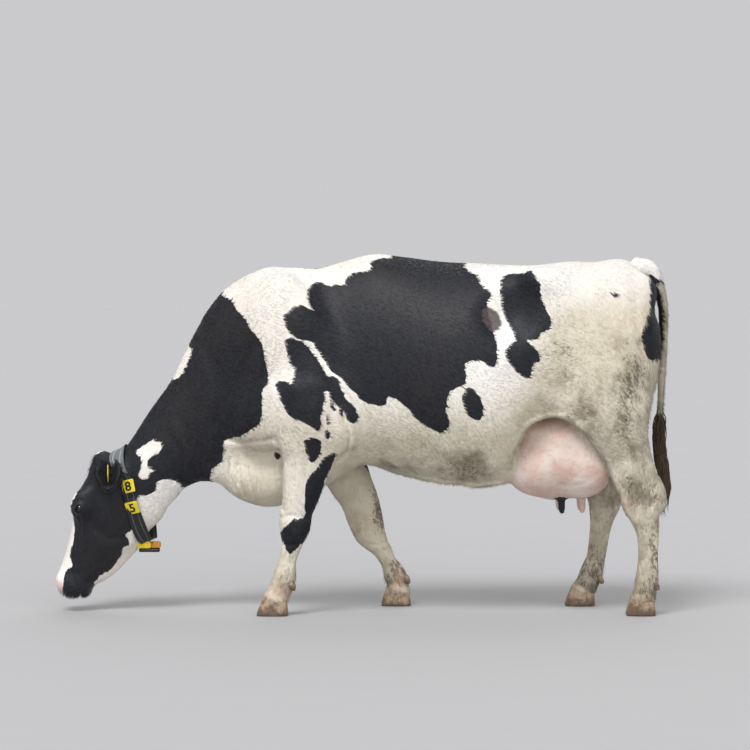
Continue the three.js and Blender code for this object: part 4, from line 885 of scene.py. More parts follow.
def dirt_of(p):
    """How stained the coat is on the thighs and the legs, and how much creamier and darker the lower body
    turns the lower it lies.
    """
    x, z = p[:, 0], p[:, 2]
    foreleg = 1 - .6 * spot(p, -.26, .50, .10, .45, -.18)
    # creamier and darker the lower it lies on the body behind the head, less so on the near foreleg
    low = .42 * smooth(1.12 - z, 0, .45) * smooth(x, -.75, -.45) * foreleg
    rear = .70 * smooth(x, .50, .95) * smooth(1.42 - z, 0, .30)
    feet = .55 * smooth(.34 - z, 0, .26) * smooth(x, -.7, -.5) * (1 - .4 * smooth(.0 - x, 0, .1))
    return np.clip(low + rear + feet + .8 * on_tail(p) + spots(p, STAINS), 0, 1)


# ------------------------------------------------------------ materials
def colour(code):
    """A linear colour from a web colour code."""
    parts = [int(code[i:i + 2], 16) / 255 for i in (1, 3, 5)]
    return tuple(c / 12.92 if c <= .04045 else ((c + .055) / 1.055) ** 2.4 for c in parts) + (1.0,)


class Finish:
    """A material whose nodes are added by name, with a Principled shader at the end."""

    STRETCH = 0.16             # how wide a strand is for its length

    def __init__(self, name, **sockets):
        self.material = bpy.data.materials.new(name)
        self.material.use_nodes = True
        self.tree = self.material.node_tree
        self.shader = self.tree.nodes["Principled BSDF"]
        self.put_all(self.shader, sockets)

    def put_all(self, node, sockets):
        """Sets or links sockets by name, or by number for i0, i1 and so on."""
        for key, value in sockets.items():
            self.put(node, int(key[1:]) if key[1:].isdigit() else key.replace("_", " "), value)

    def put(self, node, key, value):
        socket = node.inputs[key]
        if isinstance(value, str):
            value = colour(value)
        if isinstance(value, bpy.types.NodeSocket):
            self.tree.links.new(value, socket)
        else:
            socket.default_value = value

    def add(self, kind, output=0, settings=(), **sockets):
        node = self.tree.nodes.new("ShaderNode" + kind)
        for key, value in dict(settings).items():
            setattr(node, key, value)
        self.put_all(node, sockets)
        return node.outputs[output]

    def attribute(self, name, output="Fac"):
        return self.add("Attribute", output, {"attribute_name": name})

    def part(self, vector, axis):
        return self.add("SeparateXYZ", axis, Vector=vector)

    def math(self, operation, a, b=0.0):
        return self.add("Math", 0, {"operation": operation}, i0=a, i1=b)

    def plus(self, a, b):
        return self.math("ADD", a, b)

    def times(self, a, b):
        return self.math("MULTIPLY", a, b)

    def less(self, value, taken):
        return self.math("SUBTRACT", value, taken)

    def span(self, value, low, high, to_low=0.0, to_high=1.0):
        return self.add("MapRange", 0, {"interpolation_type": "SMOOTHSTEP"}, Value=value, From_Min=low,
                        From_Max=high, To_Min=to_low, To_Max=to_high)

    def mix(self, share, a, b):
        return self.add("Mix", 2, {"data_type": "RGBA"}, i0=share, i6=a, i7=b)

    def blend(self, share, a, b):
        """As mix, for values."""
        return self.add("Mix", 0, {"data_type": "FLOAT"}, i0=share, i2=a, i3=b)

    def noise(self, at, scale, detail=3.0, rough=0.55):
        return self.add("TexNoise", 0, Vector=at, Scale=scale, Detail=detail, Roughness=rough)

    def strands(self, at, direction, scale):
        """Noise drawn out along a direction in the side plane."""
        d = unit(direction)
        ways = tuple(d * self.STRETCH), (d[2], 0, -d[0]), (0, 1, 0)
        x, y, z = (self.add("VectorMath", 1, {"operation": "DOT_PRODUCT"}, i0=at, i1=way) for way in ways)
        return self.noise(self.add("CombineXYZ", X=x, Y=y, Z=z), scale, 2.0)

    def end(self, bump=None, strength=0.3, distance=0.002, **sockets):
        self.put_all(self.shader, sockets)
        if bump is not None:
            normal = self.add("Bump", 0, Strength=strength, Distance=distance, Height=bump)
            self.put(self.shader, "Normal", normal)
        return self.material


LIE_TRUNK, LIE_NECK, LIE_LEG = (.86, 0, -.5), (.86, 0, .25), (.05, 0, -1)
RAGGED = .0075                 # how far the hair carries a marking's edge to and fro


def hide_material():
    """Skin and coat: black and white hair, bare pink skin, stains; every mark is read at the hair's root."""
    f = Finish("hide", Specular_IOR_Level=.30, Sheen_Weight=.12, Sheen_Roughness=.45)
    root = f.attribute("root", "Vector")
    black, pink, legs, neck, dirt, mud, nose, bared, tint = map(
        f.attribute, ("black", "pink", "legs", "neck", "dirt", "mud", "nose", "bare", "tint"))

    def lying(scale):
        trunk, leg, along = (f.strands(root, way, scale) for way in (LIE_TRUNK, LIE_LEG, LIE_NECK))
        return f.blend(neck, f.blend(legs, trunk, leg), along)

    fine, locks = lying(330.0), lying(70.0)
    edge = f.times(f.less(locks, .5), RAGGED * 2.6)
    speckle = f.times(f.less(fine, .5), RAGGED)
    black = f.span(f.plus(f.plus(black, edge), speckle), -.0014, .0014)

    broad, patchy = f.noise(root, 2.6, 2.0), f.noise(root, 9.0, 5.0, .62)
    white = f.mix(f.span(broad, .35, .7), "#faf7f2", "#efe8de")
    white = f.mix(f.span(fine, .3, .75, 0, .16), white, "#d8cfc1")
    cream = f.mix(f.span(patchy, .3, .7), "#e2d9c3", "#d0c5ab")
    white = f.mix(f.span(dirt, .0, .55, 0, .92), white, cream)
    stale = f.times(f.span(dirt, .70, 1.0, 0, .65), f.span(patchy, .32, .58))
    white = f.mix(stale, white, "#b3aa9a")
    grime = f.mix(f.span(f.noise(root, 16.0, 4.0), .35, .65), "#857a63", "#9d927e")
    smear = f.times(f.span(patchy, .48, .68), f.span(dirt, .30, 1.0, 0, .85))
    white = f.mix(smear, white, grime)
    wet = f.plus(f.noise(root, 85.0, 3.0, .6), f.times(mud, .34))
    wet = f.plus(wet, f.times(f.less(patchy, .5), .5))
    specks = f.times(f.span(wet, .68, .79), f.span(mud, .03, .20))
    smears = f.mix(f.span(f.noise(root, 30.0, 3.0), .4, .6), "#5d5245", "#8b8070")
    white = f.mix(f.times(specks, .85), white, smears)
    flesh = f.times(bared, f.span(f.noise(root, 14.0, 3.0), .38, .62))
    white = f.mix(f.times(flesh, .65), white, "#cfa088")

    dark = f.mix(f.span(broad, .45, .75), "#17181e", "#231f20")
    dark = f.mix(f.span(fine, .35, .8, 0, .55), dark, "#2f323b")
    coat = f.mix(black, white, dark)
    coat = f.mix(f.span(f.plus(tint, edge), -.003, .006, 0, .92), coat, "#55474a")

    flush = f.noise(root, 7.0, 4.0, .6)
    bare = f.mix(f.span(flush, .35, .68), "#e4d5cb", "#d3b1a4")
    vein = f.span(f.math("ABSOLUTE", f.less(f.noise(root, 11.0, 3.0), .5)), .0, .022, 1, 0)
    bare = f.mix(f.times(vein, .28), bare, "#b98a80")
    bare = f.mix(f.span(patchy, .55, .75, 0, .35), bare, "#b59c84")

    rough = f.blend(nose, f.blend(pink, f.blend(black, .78, .50), .55), .28)
    pores = f.add("TexVoronoi", 0, Vector=root, Scale=260.0)
    hairs = f.plus(f.times(fine, .8), f.times(locks, 1.1))
    relief = f.blend(f.math("MAXIMUM", pink, nose), hairs, pores)
    return f.end(relief, .38, .0015, Base_Color=f.mix(pink, coat, bare), Roughness=rough)


HIDE = hide_material()


def plain_material(name, main, second, scale, rough):
    """A moulded stuff: two near colours and a roughness that vary with the same noise."""
    f = Finish(name)
    at = f.add("TexCoord", "Object")
    broad, fine = f.noise(at, scale, 4.0), f.noise(at, scale * 9, 3.0)
    paint = f.mix(f.span(broad, .35, .68), main, second)
    return f.end(fine, .15, .0006, Base_Color=paint, Roughness=f.span(broad, .3, .7, *rough))


RIDGE = .0115                  # how far from the strap's middle the paler line on each side runs


def webbing_material(name, main, worn, line):
    """Woven strap: ribs across it, with painted shade in the grooves between them, a paler line near each
    edge, and wear along the edges.
    """
    f = Finish(name, Sheen_Weight=.2)
    at = f.attribute("weave", "Vector")
    ribs = f.math("SINE", f.times(f.part(at, 0), 1500.0))
    edge = f.math("ABSOLUTE", f.part(at, 1))
    stripe = f.span(f.math("ABSOLUTE", f.less(edge, RIDGE)), .0006, .0016, 1, 0)
    rub = f.times(f.span(f.noise(at, 120.0, 4.0), .45, .7), f.span(edge, .004, .025, .25, 1))
    paint = f.mix(f.times(stripe, .75), f.mix(rub, main, worn), line)
    # painted shade: the grooves between the ribs are darkened towards black
    paint = f.mix(f.span(ribs, -.9, .2, .35, 0), paint, "#050505")
    weft = f.add("TexWave", 0, {"bands_direction": "Y"}, Vector=at, Scale=190.0, Distortion=.4)
    return f.end(f.plus(ribs, f.times(weft, .8)), .5, .0008, Base_Color=paint, Roughness=.78)


WEBBING = webbing_material("webbing", "#141518", "#33343a", "#77797e")
SLEEVE = webbing_material("grey_webbing", "#6f7478", "#9ba0a4", "#c9cccf")
YELLOW = plain_material("yellow_plastic", "#f3dc2c", "#e6c81f", 60.0, (.38, .52))
ORANGE = plain_material("orange_plastic", "#c98a24", "#a9641c", 50.0, (.40, .6))
BLACK_PLASTIC = plain_material("black_plastic", "#1a1b1d", "#2b2b2b", 50.0, (.35, .55))


def horn_material():
    """Horn: growth rings round the claw, streaks down it, and dried mud at the bottom."""
    f = Finish("hoof")
    up = f.part(f.attribute("horn", "Vector"), 2)
    place = f.add("TexCoord", "Object")
    wander = f.noise(place, 25.0, 3.0)
    rings = f.math("SINE", f.times(f.plus(up, f.times(wander, .06)), 75.0))
    streaks = f.noise(f.add("VectorMath", 0, {"operation": "MULTIPLY"}, i0=place, i1=(1, 1, .08)), 150.0, 3.0)
    paint = f.mix(f.span(streaks, .35, .7), "#ad947a", "#8e745d")
    paint = f.mix(f.span(rings, -.2, .9, 0, .35), paint, "#c9b69c")
    mud = f.span(f.plus(f.noise(place, 30.0, 5.0), f.times(up, -.30)), .18, .50)
    paint = f.mix(f.times(mud, .8), paint, "#54463a")
    relief = f.plus(f.times(rings, .5), f.plus(streaks, f.times(mud, .6)))
    return f.end(relief, .45, .0012, Base_Color=paint, Roughness=f.span(mud, 0, 1, .45, .85))


def eye_material():
    """A dark eye: brown iris, a long level pupil, and a little paler at the rim."""
    f = Finish("eyeball", Roughness=.06, Coat_Weight=.6, Coat_Roughness=.03, IOR=1.4)
    at = f.attribute("iris", "Vector")
    x, y, out = (f.part(at, axis) for axis in range(3))
    pupil = f.span(f.plus(f.times(x, x), f.times(f.times(y, y), 5.0)), .13, .20, 1, 0)
    iris = f.mix(f.span(f.noise(at, 9.0, 4.0), .35, .7), "#2a1a12", "#3d2819")
    paint = f.mix(pupil, iris, "#07080c")
    paint = f.mix(f.span(out, .60, .72, 1, 0), paint, "#120d0b")
    return f.end(Base_Color=f.mix(f.span(out, .30, .45, 1, 0), paint, "#8d7f78"))


HORN = horn_material()
EYE_FINISH = eye_material()


# ------------------------------------------------------------ making pieces
def make_mesh(name, points, faces, material, facts=(), slot=None):
    """An object from points and arrays of faces, with vertex facts stored as attributes."""
    mesh = bpy.data.meshes.new(name)
    faces = [np.asarray(f, np.int32) for f in faces]
    sizes = np.concatenate([np.full(len(f), f.shape[1], np.int32) for f in faces])
    mesh.vertices.add(len(points))
    mesh.vertices.foreach_set("co", np.asarray(points, np.float32).ravel())
    mesh.loops.add(int(sizes.sum()))
    mesh.loops.foreach_set("vertex_index", np.concatenate([f.ravel() for f in faces]))
    mesh.polygons.add(len(sizes))
    mesh.polygons.foreach_set("loop_start", np.concatenate([[0], np.cumsum(sizes)[:-1]]).astype(np.int32))
    mesh.polygons.foreach_set("use_smooth", np.full(len(sizes), True))
    mesh.materials.append(material)
    mesh.update()
    mesh.validate()
    for key, values in dict(facts).items():
        values = np.asarray(values, np.float32)
        kind, field = ("FLOAT_VECTOR", "vector") if values.ndim == 2 else ("FLOAT", "value")
        mesh.attributes.new(key, kind, "POINT").data.foreach_set(field, values.ravel())
    piece = bpy.data.objects.new(name, mesh)
    bpy.context.collection.objects.link(piece)
    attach(piece, "root")
    return piece


def ring_faces(rings, around, first=0):
    """Quads between closed rings of points that lie one after another."""
    r, a = (grid.ravel() for grid in np.meshgrid(np.arange(rings - 1), np.arange(around), indexing="ij"))
    b = (a + 1) % around
    return first + np.stack([r * around + a, r * around + b, (r + 1) * around + b, (r + 1) * around + a], 1)


def tube_faces(rings, around, turned=False):
    """The same with a flat face at both ends, or all of them turned inside out."""
    caps = np.arange(around)[None, ::-1], (rings - 1) * around + np.arange(around)[None]
    faces = [ring_faces(rings, around), *caps]
    return [f[:, ::-1] for f in faces] if turned else faces


def ring_grid(first, last, rings, around):
    """Steps from ring to ring, and turns round each."""
    turns = np.linspace(0, 2 * np.pi, around, endpoint=False)
    return np.meshgrid(np.linspace(first, last, rings), turns, indexing="ij")


TEAT_TOP = .490                # the near fore teat is black below this


def on_tail(p):
    return (p[:, 0] > 1.19) & (np.abs(p[:, 1]) < .05) & (p[:, 2] > .6) & (p[:, 2] < 1.37)


def tail_black(p):
    """The tail's dark hair: along the inner side of its upper half."""
    line = TAIL.line[np.argsort(TAIL.line[:, 2])]
    middle = np.interp(p[:, 2], line[:, 2], line[:, 0])
    return middle - .004 - .024 * smooth(1.12 - p[:, 2], 0, .14) - p[:, 0]


def marks_of(p):
    """Everything the hide material reads at a root."""
    down, front, belongs = head_place(p)
    tip = belongs * smooth(down, .525, .555) * smooth(front, -.11, -.08)
    lips = belongs * smooth(down, .50, .54) * smooth(-front, .045, .07) * smooth(front, -.15, -.11)
    black = np.where(on_tail(p), tail_black(p), black_of(p))
    neck = smooth(-p[:, 0], .35, .60) * (1 - belongs)
    x, y = TEATS[0]
    near_teat = (p[:, 2] < TEAT_TOP) & (np.hypot(p[:, 0] - x, p[:, 1] + y) < .03)
    black = np.where(near_teat, TEAT_TOP - p[:, 2], black)
    return {
        "root": p, "black": black, "pink": np.maximum(udder_of(p) * ~near_teat, tip * (black < 0)),
        "nose": np.clip(np.maximum(tip, lips), 0, 1), "neck": neck, "dirt": dirt_of(p),
        "mud": np.clip(spots(p, MUD_SPOTS), 0, 1),
        "bare": np.clip(spots(p, BARE_SPOTS), 0, 1),
        "tint": depth_in(LEFT_BROWN, on_view(p)) / A_METRE - .1 * (p[:, 1] > 0),
        "legs": np.maximum(lower_of(p), belongs),
    }


# ------------------------------------------------------------ ears
EAR_DOWN, EAR_FRONT, EAR_LENGTH, EAR_WIDTH, EAR_THICK, EAR_CUP = -.008, -.046, .205, .104, .0060, .018
EAR_LINE = (.06, .78, -.62)                # from the root to the tip, away from the head
EAR_SINK = .014                            # how deep its root lies in the head
EAR_FIT = .985                             # the skin's ear is this much of the solid's
LEAF = Table([(0, .34), (.12, .46), (.35, .92), (.5, 1), (.68, .88), (.85, .58), (.95, .28), (1, .05)])
EAR_ROOT_Y = outward_y(EAR_DOWN, EAR_FRONT) - EAR_SINK


def ear_frame(side):
    along = unit(np.array(EAR_LINE) * (1, side, 1))
    across = unit(np.array((1, 0, 0)) - along * along[0])
    away = np.cross(across, along)
    if away[1] * side < 0:
        away = -away
    return on_head(EAR_DOWN, EAR_FRONT, side * EAR_ROOT_Y), along, across, away


def ear_points(side, t, s, lift):
    """A place on the ear: t down its length, s across it from -1 to 1, lift off its middle sheet."""
    root, along, across, away = ear_frame(side)
    half = LEAF(t) * EAR_WIDTH / 2 * EAR_FIT
    cup = EAR_CUP * np.sin(np.pi * np.clip(t * .9 + .1, 0, 1))
    curl = cup * s**2 * (1 + .12 * np.sin(9 * t + 3 * s))
    trough = -.004 * np.exp(-(s / .25) ** 2) * np.sin(np.pi * t)
    return (root + along * (EAR_LENGTH * EAR_FIT * t)[..., None] + across * (half * s)[..., None]
            + away * (curl + trough + lift)[..., None])


EAR_RINGS, EAR_AROUND = 44, 40


def ear_shell(side):
    """The two faces of the ear's sheet as closed rings."""
    t, turn = ring_grid(0, 1, EAR_RINGS, EAR_AROUND)
    s = np.cos(turn)
    body = EAR_THICK / 2 * (1 + smooth(.18 - t, 0, .12)) * np.abs(np.sin(turn)) ** .6 * (1 - .45 * s**2)
    lift = body * (1 - .75 * smooth(t, .9, 1.0)) * np.sign(np.sin(turn))
    return ear_points(side, t, s, lift).reshape(-1, 3)


def ear_marks(p):
    """An ear is black and clean."""
    nothing = np.zeros(len(p))
    return {**marks_of(p), "black": nothing + .05, "pink": nothing, "dirt": nothing}


parts, part_faces, part_marks = [skin_points], [skin_quads], [marks_of(skin_points)]
for _, side in SIDES:
    points = ear_shell(side)
    faces = ring_faces(EAR_RINGS, EAR_AROUND, sum(map(len, parts)))
    parts.append(points)
    part_faces.append(faces[:, ::-1] if side > 0 else faces)
    part_marks.append(ear_marks(points))
marks = {key: np.concatenate([m[key] for m in part_marks]) for key in part_marks[0]}
skin = make_mesh("skin", np.concatenate(parts), part_faces, HIDE, marks, "white_coat")
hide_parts("head", "lower_jaw", "neck", "trunk", "udder", "tail", "foreleg_left", "foreleg_right",
            "hindleg_left", "hindleg_right", "teat_fore_left", "teat_fore_right", "teat_rear_left",
            "teat_rear_right", "ear_left", "ear_right")

# ------------------------------------------------------------ eyes
BALL_RINGS, BALL_AROUND = 28, 40


def eyeball(name, side):
    """A ball with a swollen cornea; its facts are measured from the line of its gaze."""
    centre, out, level, high = eye_axes(side)
    tilt, turn = (grid.ravel() for grid in ring_grid(.02, np.pi - .02, BALL_RINGS, BALL_AROUND))
    ball = np.stack([np.sin(tilt) * np.cos(turn), np.sin(tilt) * np.sin(turn), np.cos(tilt)], 1)
    radius = EYE_RADIUS * (.985 + .05 * np.exp(-(tilt / .5) ** 2))
    points = centre + radius[:, None] * (ball @ np.stack([level, high, out]))
    piece = make_mesh("eyeball_" + name, points, tube_faces(BALL_RINGS, BALL_AROUND, True), EYE_FINISH,
                      {"iris": ball}, "eyeball")
    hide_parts("eye_" + name)


for name, side in SIDES:
    eyeball(name, side)

# ------------------------------------------------------------ feet
CORONET_SLOPE = .26
FEET = {                                   # across, coronet (x, z), toe, heel, dew claws (x, z)
    "fore_left": (-.185, (-.366, .064), -.446, -.312, (-.296, .122)),
    "fore_right": (.185, (.142, .060), .068, .198, (.180, .112)),
    "hind_left": (-.180, (1.146, .062), 1.074, 1.200, (1.200, .124)),
    "hind_right": (.180, (.926, .060), .846, .976, (1.000, .112)),
}
CLAW_RINGS, CLAW_AROUND = 16, 48
BUD_RINGS, BUD_AROUND = 12, 18
BUD_ACROSS = .023                          # how far to either side of the leg's middle a dewclaw sits
CLAW_WIDTH = Table([(0, .043), (.18, .0462), (.6, .0445), (1, .0405)])
CLAW_GAP = .0022


def claw(foot, half):
    """Rings from the flat sole to the sloping coronet, pointed at the toe and round at the heel."""
    y, (top_x, top_z), toe, heel, _ = foot
    level, turn = ring_grid(0, 1, CLAW_RINGS, CLAW_AROUND)
    tip = .004 * (1 - smooth(level, 0, .12))
    front = toe + .0006 + (top_x - .0495 - toe) * level + tip
    back = heel - .0006 + (top_x + .0475 - heel) * level - tip
    x = (front + back) / 2 + (back - front) / 2 * np.cos(turn)
    taper = 1 - .28 * np.maximum(0, -np.cos(turn)) ** 2
    sine = np.sin(turn)
    width = CLAW_WIDTH(level) / 2 * (1 - .06 * (1 - smooth(level, 0, .10)))
    outward = CLAW_GAP + width + width * np.sign(sine) * np.abs(sine) ** .75 * taper
    z = level * (top_z + .004 - CORONET_SLOPE * (x - top_x))
    points = np.stack([x, y + half * outward, z], -1).reshape(-1, 3)
    horn = np.stack([x, outward, level], -1).reshape(-1, 3)
    return points, tube_faces(CLAW_RINGS, CLAW_AROUND, half < 0), horn


def dew_claw(foot, half):
    """A horn bud at the back of the pastern, pointing down and back."""
    y, _, _, _, (x, z) = foot
    tilt, turn = (grid.ravel() for grid in ring_grid(.02, np.pi - .02, BUD_RINGS, BUD_AROUND))
    r, fall = np.sin(tilt) ** .8, np.cos(tilt)
    points = np.stack([.013 * r * np.cos(turn) + .005 * fall, .0125 * r * np.sin(turn), -.0185 * fall], 1)
    points = points + (x, y + half * BUD_ACROSS, z)
    horn = np.stack([points[:, 0], points[:, 1], .5 - .5 * fall], 1)
    return points, tube_faces(BUD_RINGS, BUD_AROUND, True), horn


for foot_name, foot in FEET.items():
    for half in (-1, 1):
        where = "outer" if half == np.sign(foot[0]) else "inner"
        for kind, maker in (("claw", claw), ("dewclaw", dew_claw)):
            points, faces, horn = maker(foot, half)
            piece = make_mesh(f"{kind}_horn_{foot_name}_{where}", points, faces, HORN, {"horn": horn}, "hoof")
            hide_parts(f"{kind}_{foot_name}_{where}")

# ------------------------------------------------------------ collar
COLLAR_TOP, COLLAR_BOTTOM, COLLAR_YAW = np.array((-.990, 0, .690)), np.array((-.897, 0, .285)), .27
STRAP_WIDTH, STRAP_THICK, STRAP_CLEAR = .050, .005, .004
STRAP_BEND = .030                          # how far forward the strap slides on the crest of the neck
HANG_FOOT, HANG_TOP = (.036, -.194), (.108, -.020)     # the slack's straight sides: across, up
COLLAR_MIDDLE = (COLLAR_TOP + COLLAR_BOTTOM) / 2
COLLAR_UP = unit(COLLAR_TOP - COLLAR_BOTTOM)
COLLAR_OUT = unit(np.cross(unit((COLLAR_YAW, 1, 0)), COLLAR_UP))
COLLAR_ACROSS = np.cross(COLLAR_UP, COLLAR_OUT)
TURNS = np.linspace(-np.pi, np.pi, 145)


def spoke(turn):
    """The way out from the collar's middle at a turn."""
    return np.multiply.outer(np.cos(turn), COLLAR_ACROSS) + np.multiply.outer(np.sin(turn), COLLAR_UP)


def strap_bend(turn):
    return -STRAP_BEND * smooth(np.sin(turn), .45, .97)


def strap_hang():
    """How far the slack lets the strap hang in each direction: down straight sides to a flat foot."""
    (x0, y0), (x1, y1) = HANG_FOOT, HANG_TOP
    c, s = np.abs(np.cos(TURNS)), np.sin(TURNS)
    sides = (x0 * y1 - x1 * y0) / (c * (y1 - y0) - s * (x1 - x0))
    foot = y0 / np.minimum(s, -1e-3)
    return np.where(s < -.15, np.minimum(sides, foot), 0)


def strap_tables():
    """How far the strap's edges and middle lie from the collar's middle in each direction."""
    radii = np.arange(.040, .26, .001)
    tables = []
    for edge in (-1, 0, 1):
        start = COLLAR_MIDDLE + COLLAR_OUT * (edge * STRAP_WIDTH / 2 + strap_bend(TURNS)[:, None])
        places = start[:, None] + spoke(TURNS)[:, None] * radii[:, None]
        clear = solid_distance(places.reshape(-1, 3)).reshape(len(TURNS), -1) >= STRAP_CLEAR
        tables.append(np.maximum(radii[np.argmax(clear, 1)], strap_hang()))
    smoothed = np.array(tables)
    for _ in range(3):
        smoothed = np.maximum(tables, (np.roll(smoothed, 1, 1) + smoothed * 2 + np.roll(smoothed, -1, 1)) / 4)
    return smoothed


STRAP_TABLES = strap_tables()


def strap_radius(turn, beside=0.0):
    place = (np.asarray(turn) + np.pi) % (2 * np.pi) - np.pi
    low, middle, high = (np.interp(place, TURNS, table) for table in STRAP_TABLES)
    share = np.clip(beside / (STRAP_WIDTH / 2), -1, 1)
    return np.where(share < 0, middle + (low - middle) * -share, middle + (high - middle) * share)


def strap_piece(name, start, stop, low, high, width, finish, slot, steps):
    """A length of strap with rounded edges and a low ridge along each side."""
    whole = stop - start > 6.28
    turns = np.linspace(start, stop, steps, endpoint=not whole)
    half, mid = width / 2, (low + high) / 2
    profile = [(-half, mid), (-half + .0008, high - .0008), (-half + .003, high)]
    for centre in (-RIDGE, RIDGE):
        profile += [(centre - .0022, high), (centre - .0010, high + .0007), (centre + .0010, high + .0007),
                    (centre + .0022, high)]
    profile += [(half - .003, high), (half - .0008, high - .0008), (half, mid), (half - .0012, low + .0006),
                (half - .004, low), (0, low), (-half + .004, low), (-half + .0012, low + .0006)]
    n = len(profile)
    turn = np.repeat(turns, n)
    beside, lift = np.tile(profile, (steps, 1)).T
    points = COLLAR_MIDDLE + (strap_radius(turn, beside) + lift)[:, None] * spoke(turn)
    points = points + (beside + strap_bend(turn))[:, None] * COLLAR_OUT
    line = strap_radius(turns)[:, None] * np.stack([np.cos(turns), np.sin(turns)], 1)
    run = np.concatenate([[0], np.cumsum(np.linalg.norm(np.diff(line, axis=0), axis=1))])
    weave = np.stack([np.repeat(run, n), beside, (lift - low) / (high - low)], 1)
    faces = [ring_faces(steps + 1, n) % (steps * n)] if whole else tube_faces(steps, n)
    return make_mesh(name, points, faces, finish, {"weave": weave}, slot)


strap = strap_piece("webbing_strap", 0, 2 * np.pi, .0002, STRAP_THICK - .0008, STRAP_WIDTH, WEBBING,
                    "webbing", 220)
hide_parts("collar_strap")
SLEEVE_SPAN = (np.pi - 1.50, np.pi - .85)      # turns
sleeve = strap_piece("worn_sleeve", *SLEEVE_SPAN, STRAP_THICK - .0004, STRAP_THICK + .0033,
                     STRAP_WIDTH - .002, SLEEVE, "grey_webbing", 60)
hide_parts("collar_sleeve")


CORNER_STEPS = 6


def block(name, size, radius, axes, finish, slot, bevel):
    """A moulded block with rounded corners, bevelled, on the axes (right, up, out) at a place."""
    right, up, out, place = axes
    w, h, d = size
    corners = []
    for cx, cy, first in ((1, -1, -.5), (1, 1, 0), (-1, 1, .5), (-1, -1, 1)):
        for k in range(CORNER_STEPS + 1):
            a = (first + k / CORNER_STEPS / 2) * math.pi
            corners.append((cx * (w / 2 - radius) + radius * math.cos(a),
                            cy * (h / 2 - radius) + radius * math.sin(a)))
    slope = [(0, bevel), (bevel * .3, bevel * .3), (bevel, 0)]
    levels = slope + [(d - z, inset) for z, inset in slope[::-1]]
    points = [place + right * (x * (1 - 2 * inset / w)) + up * (y * (1 - 2 * inset / h)) + out * z
              for z, inset in levels for x, y in corners]
    return make_mesh(name, points, tube_faces(len(levels), len(corners)), finish, (), slot)


def digit(name, body, size, frame_at):
    """A plain figure, raised a hair off its plate."""
    right, up, out, place = frame_at
    curve = bpy.data.curves.new(name, "FONT")
    curve.body, curve.size, curve.extrude, curve.offset = body, size, .0003, .0016
    curve.align_x, curve.align_y = "CENTER", "CENTER"
    text = bpy.data.objects.new(name + "_text", curve)
    bpy.context.collection.objects.link(text)
    mesh = bpy.data.meshes.new_from_object(text.evaluated_get(bpy.context.evaluated_depsgraph_get()))
    bpy.data.objects.remove(text)
    co = np.empty(len(mesh.vertices) * 3)
    mesh.vertices.foreach_get("co", co)
    co = co.reshape(-1, 3)
    co[:, :2] -= (co[:, :2].max(0) + co[:, :2].min(0)) / 2
    co = place + co @ np.stack([right, up, out])
    mesh.vertices.foreach_set("co", co.ravel())
    mesh.materials.clear()
    mesh.materials.append(BLACK_PLASTIC)
    piece = bpy.data.objects.new(name, mesh)
    bpy.context.collection.objects.link(piece)
    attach(piece, "root")


PLATE_SIZE, PLATE_THICK = .054, .006
PLATES = (.043, "8"), (-.041, "5")         # over the collar's middle, figure


def side_turn(turn, side):
    return math.pi - turn if side < 0 else turn


for name, side in SIDES:
    for n, (height, figure) in enumerate(PLATES, 1):
        turn = 0.0
        for _ in range(12):
            turn = math.asin(height / strap_radius(side_turn(turn, side)))
        turn = side_turn(turn, side)
        r = strap_radius(turn) + STRAP_THICK
        lean = (strap_radius(turn + .12) - strap_radius(turn - .12)) / .24 / r
        out = spoke(turn - math.atan(lean))
        up = unit(np.cross(out, COLLAR_OUT))
        up = up if up @ COLLAR_UP > 0 else -up
        right = np.cross(up, out)
        place = COLLAR_MIDDLE + r * spoke(turn) + out * .003 + COLLAR_OUT * strap_bend(turn)
        plate = block(f"plate_{name}_{n}", (PLATE_SIZE, PLATE_SIZE, PLATE_THICK - .001), .005,
                      (right, up, out, place), YELLOW, "yellow_plastic", .0014)
        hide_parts(f"number_plate_{name}_{n}")
        digit(f"figure_{name}_{n}", figure, .052, (right, up, out, place + out * (PLATE_THICK - .0009)))

UNDER = COLLAR_MIDDLE - COLLAR_UP * (strap_radius(-np.pi / 2) + STRAP_THICK + .0004)
BOX_AXES = (np.array((1., 0, 0)), np.array((0, 0, 1.)), np.array((0, -1., 0)))


for name, size, (aside, lift), finish, slot, node, bevel in (
    ("box_shell", (.058, .052, .030), (-.0215, -.001), YELLOW, "yellow_plastic", "answering_box", .003),
    ("box_cap", (.042, .046, .025), (.027, -.005), ORANGE, "orange_plastic", "answering_box_end", .004),
    ("weight_bar", (.086, .044, .016), (.001, -.0315), BLACK_PLASTIC, "black_plastic", "collar_weight", .007),
):
    wide, deep, high = size
    place = UNDER + np.array((aside, deep / 2, lift - high / 2))
    piece = block(name, (wide, high, deep), min(wide, high) / 4, (*BOX_AXES, place), finish, slot, bevel)
    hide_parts(node)

# ------------------------------------------------------------ ear tags
TAG_SIZE, TAG_DOWN = (.050, .066, .003), .67
for name, side in SIDES:
    root, along, across, away = ear_frame(side)
    lift = .0035 + TAG_SIZE[0] / 2 + .001
    place = root + along * EAR_LENGTH * TAG_DOWN + away * lift
    tag = block("tag_" + name, TAG_SIZE, .010, (away, np.cross(across, away), across, place), YELLOW,
                "yellow_plastic", .0006)
    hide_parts("ear_tag_" + name)


# ------------------------------------------------------------ the skin's unwrap
def unwrapped(piece):
    """Unwraps a piece into the map OFBake."""
    piece.data.uv_layers.new(name="OFBake")
    bpy.context.view_layer.objects.active = piece
    piece.select_set(True)
    bpy.ops.object.mode_set(mode="EDIT")
    bpy.ops.mesh.select_all(action="SELECT")
    bpy.ops.uv.smart_project(angle_limit=1.15, island_margin=.004, scale_to_bounds=True)
    bpy.ops.object.mode_set(mode="OBJECT")
    piece.select_set(False)


def read(collection, field, width, kind=np.float32):
    values = np.empty(len(collection) * width, kind)
    collection.foreach_get(field, values)
    return values.reshape(-1, width) if width > 1 else values


